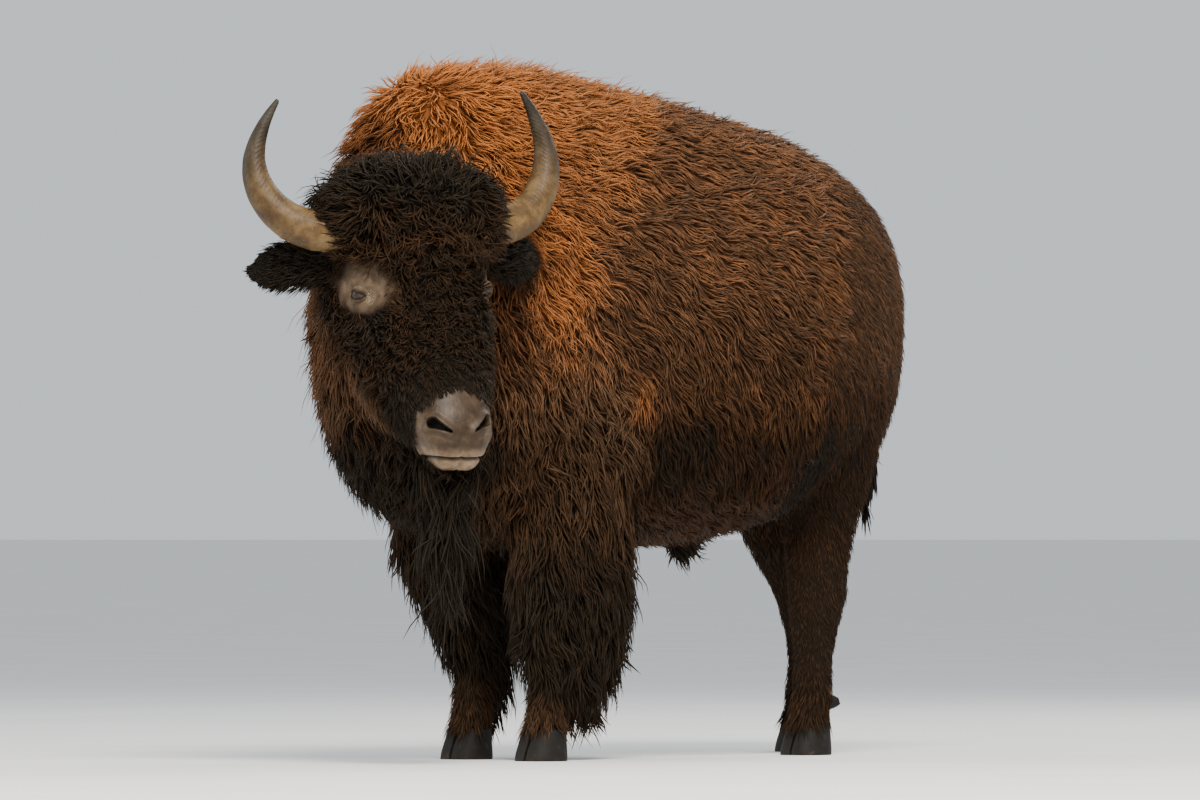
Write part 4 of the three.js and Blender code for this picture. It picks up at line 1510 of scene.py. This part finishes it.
def skin_material():
    """Underfur in the coat's own markings, darkened as painted shade under the locks, with leather on the
    nose, the lips and round the eyes, and painted shade in the nostrils and the mouth's crease.
    """
    material, tree, shader = new_material("skin")
    where = own_place(tree)
    pad, patch, lip = split(tree, kept(tree, "bare"))
    hollow_shade, lash, crust = split(tree, kept(tree, "hollow"))
    fur = noise(tree, where, 160.0, 3.0)
    # The underfur takes the coat's root colour and is darkened further, a painted shade under the locks.
    under = tint(tree, coat_colour(tree, 0.5, times(tree, fur, 0.55)), UNDERFUR_SHADE_TINT)
    mottle = noise(tree, where, 38.0, 5.0, 0.6)
    nose, pink, lid = (ramp(tree, mottle, *tones) for tones in (NOSE_TONES, LIP_TONES, EYELID_TONES))
    colour = blend_colour(tree, pad, under, blend_colour(tree, times(tree, lip, 0.8), nose, pink))
    colour = blend_colour(tree, patch, colour, lid)
    # Painted shade: the nostrils' scoops and the mouth's crease are painted near-black.
    colour = blend_colour(tree, hollow_shade, colour, (0.006, 0.005, 0.004))
    colour = blend_colour(tree, times(tree, lash, 0.85), colour, (0.008, 0.006, 0.005))
    specks = ramp(tree, noise(tree, where, 330.0, 3.0), (0.40, BLACK), (0.72, WHITE))
    colour = blend_colour(tree, times(tree, crust, specks), colour, (0.30, 0.23, 0.15))
    plug(tree, shader.inputs["Base Color"], colour)
    cells = {"Vector": where, "Scale": 420.0}
    pebbles = node(tree, "ShaderNodeTexVoronoi", feature="SMOOTH_F1", inputs=cells).outputs["Distance"]
    leather = maths(tree, "ADD", pebbles, times(tree, noise(tree, where, 700.0, 2.0), 0.5))
    bald = maths(tree, "MAXIMUM", pad, patch)
    height = node(tree, "ShaderNodeMix", data_type="FLOAT", inputs={0: bald, 2: fur, 3: leather}).outputs[0]
    emboss(tree, shader, height, 0.35, 0.002)
    # The nose pad is moist.
    polish(tree, shader, pad, 0.95, 0.46)
    plug(tree, shader.inputs["Coat Weight"], times(tree, pad, 0.16))
    shader.inputs["Coat Roughness"].default_value = 0.42
    gloss(shader, 0.12)
    return material


def horn_material():
    """Mottled horn, pale and flaking at its root and grey-black at its tip."""
    material, tree, shader = new_material("horn")
    reach, where = kept(tree, "reach", "Fac"), own_place(tree)
    mottle = noise(tree, where, 22.0, 7.0, 0.62)
    base = ramp(tree, mottle, *HORN_TONES)
    along = ramp(
        tree,
        maths(tree, "ADD", reach, swing(tree, mottle, 0.22)),
        (0.0, (1.75, 1.75, 1.80)),
        (0.22, (1.15, 1.15, 1.15)),
        (0.60, (0.85, 0.86, 0.90)),
        (0.74, (0.45, 0.52, 0.75)),
        (0.88, (0.26, 0.34, 0.60)),
        (1.0, (0.20, 0.28, 0.50)),
    )
    cells = {"Vector": where, "Scale": 55.0, "Randomness": 1.0}
    flakes = node(tree, "ShaderNodeTexVoronoi", inputs=cells).outputs["Distance"]
    near_root = ramp(tree, reach, (0.08, (0.9, 0.9, 0.9)), (0.35, BLACK))
    fleck = times(tree, ramp(tree, flakes, (0.06, WHITE), (0.16, BLACK)), near_root)
    colour = blend_colour(tree, fleck, tint(tree, base, along), (0.30, 0.25, 0.18))
    plug(tree, shader.inputs["Base Color"], colour)
    run = node(tree, "ShaderNodeCombineXYZ", inputs={0: reach}).outputs[0]
    waves = {"Vector": run, "Scale": 14.0, "Distortion": 2.5, "Detail": 3.0}
    ridges = node(tree, "ShaderNodeTexWave", inputs=waves).outputs["Fac"]
    height = maths(tree, "ADD", times(tree, ridges, 0.5), noise(tree, where, 180.0, 4.0))
    emboss(tree, shader, height, 0.35, 0.002)
    polish(tree, shader, mottle, 0.40, 0.66)
    gloss(shader, 0.28)
    return material


def hoof_material():
    """Black horn in low bands, greyer with wear towards the sole."""
    material, tree, shader = new_material("hoof")
    where = own_place(tree)
    grime = noise(tree, where, 45.0, 6.0)
    height = kept(tree, "height", "Fac")
    wear = ramp(tree, height, (0.0, (1.5, 1.4, 1.3)), (0.3, WHITE), (1.0, (0.7, 0.7, 0.7)))
    plug(tree, shader.inputs["Base Color"], tint(tree, ramp(tree, grime, *HOOF_TONES), wear))
    waves = {"Vector": where, "Scale": 60.0, "Distortion": 1.5}
    bands = node(tree, "ShaderNodeTexWave", bands_direction="Z", inputs=waves).outputs["Fac"]
    emboss(tree, shader, maths(tree, "ADD", times(tree, bands, 0.25), grime), 0.5, 0.0015)
    polish(tree, shader, grime, 0.5, 0.85)
    gloss(shader, 0.22)
    return material


def eye_material():
    """A dark brown iris in a dark white."""
    material, tree, shader = new_material("eye")
    gaze = kept(tree, "gaze")
    across, up, _ = split(tree, gaze)
    ring = maths(tree, "SQRT", maths(tree, "ADD", times(tree, across, across), times(tree, up, up)))
    fibres = noise(tree, gaze, 14.0, 4.0)
    iris = ramp(tree, fibres, (0.3, (0.010, 0.006, 0.004)), (0.7, (0.045, 0.024, 0.012)))
    white = ramp(tree, fibres, (0.3, (0.018, 0.013, 0.010)), (0.7, (0.048, 0.036, 0.028)))
    rim = ramp(tree, maths(tree, "ADD", ring, times(tree, fibres, 0.06)), (0.62, BLACK), (0.72, WHITE))
    plug(tree, shader.inputs["Base Color"], blend_colour(tree, rim, iris, white))
    gloss(shader, 0.25, 0.22)
    return material


def dress(pieces, material):
    for piece in pieces:
        piece.data.materials.clear()
        piece.data.materials.append(material)


dress(coat.values(), lock_material())
dress([skin], skin_material())
dress(horns, horn_material())
dress(eyes, eye_material())
dress(claws, hoof_material())


# ---------------------------------------------------------------- floor and light


FLOOR_SIZE = 1600.0


def make_floor():
    deselect()
    bpy.ops.mesh.primitive_plane_add(size=FLOOR_SIZE, location=(0, 0, 0))
    floor = bpy.context.object
    floor.name = "floor"
    material, tree, shader = new_material("floor")
    cloud = noise(tree, own_place(tree), 1.5, 3.0)
    pale = ramp(tree, cloud, (0.3, (0.74, 0.74, 0.74)), (0.7, (0.80, 0.79, 0.78)))
    plug(tree, shader.inputs["Base Color"], pale)
    shader.inputs["Roughness"].default_value = 0.85
    floor.data.materials.append(material)
    floor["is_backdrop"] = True


def add_light(name, place_at, aim, size, power, colour):
    data = bpy.data.lights.new(name, "AREA")
    data.shape, data.size, data.energy, data.color = "DISK", size, power, colour
    lamp = link(bpy.data.objects.new(name, data))
    lamp.location = place_at
    lamp.rotation_euler = (Vector(aim) - Vector(place_at)).to_track_quat("-Z", "Y").to_euler()


def add_lights():
    world = bpy.data.worlds.new("studio")
    world.use_nodes = True
    background = world.node_tree.nodes["Background"]
    background.inputs["Color"].default_value = (0.78, 0.83, 0.88, 1.0)
    background.inputs["Strength"].default_value = 0.92
    bpy.context.scene.world = world
    middle = (0.0, 0.0, 0.95)
    add_light("key", (5.2, -4.6, 7.6), middle, 4.0, 1750.0, (1.0, 0.94, 0.86))
    add_light("fill", (-7.0, -6.0, 3.5), middle, 5.0, 260.0, (0.96, 0.98, 1.0))
    add_light("back", (-1.0, 7.5, 6.5), middle, 4.0, 420.0, (1.0, 0.96, 0.90))


make_floor()
add_lights()

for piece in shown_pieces():
    piece.select_set(False)
low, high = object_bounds()
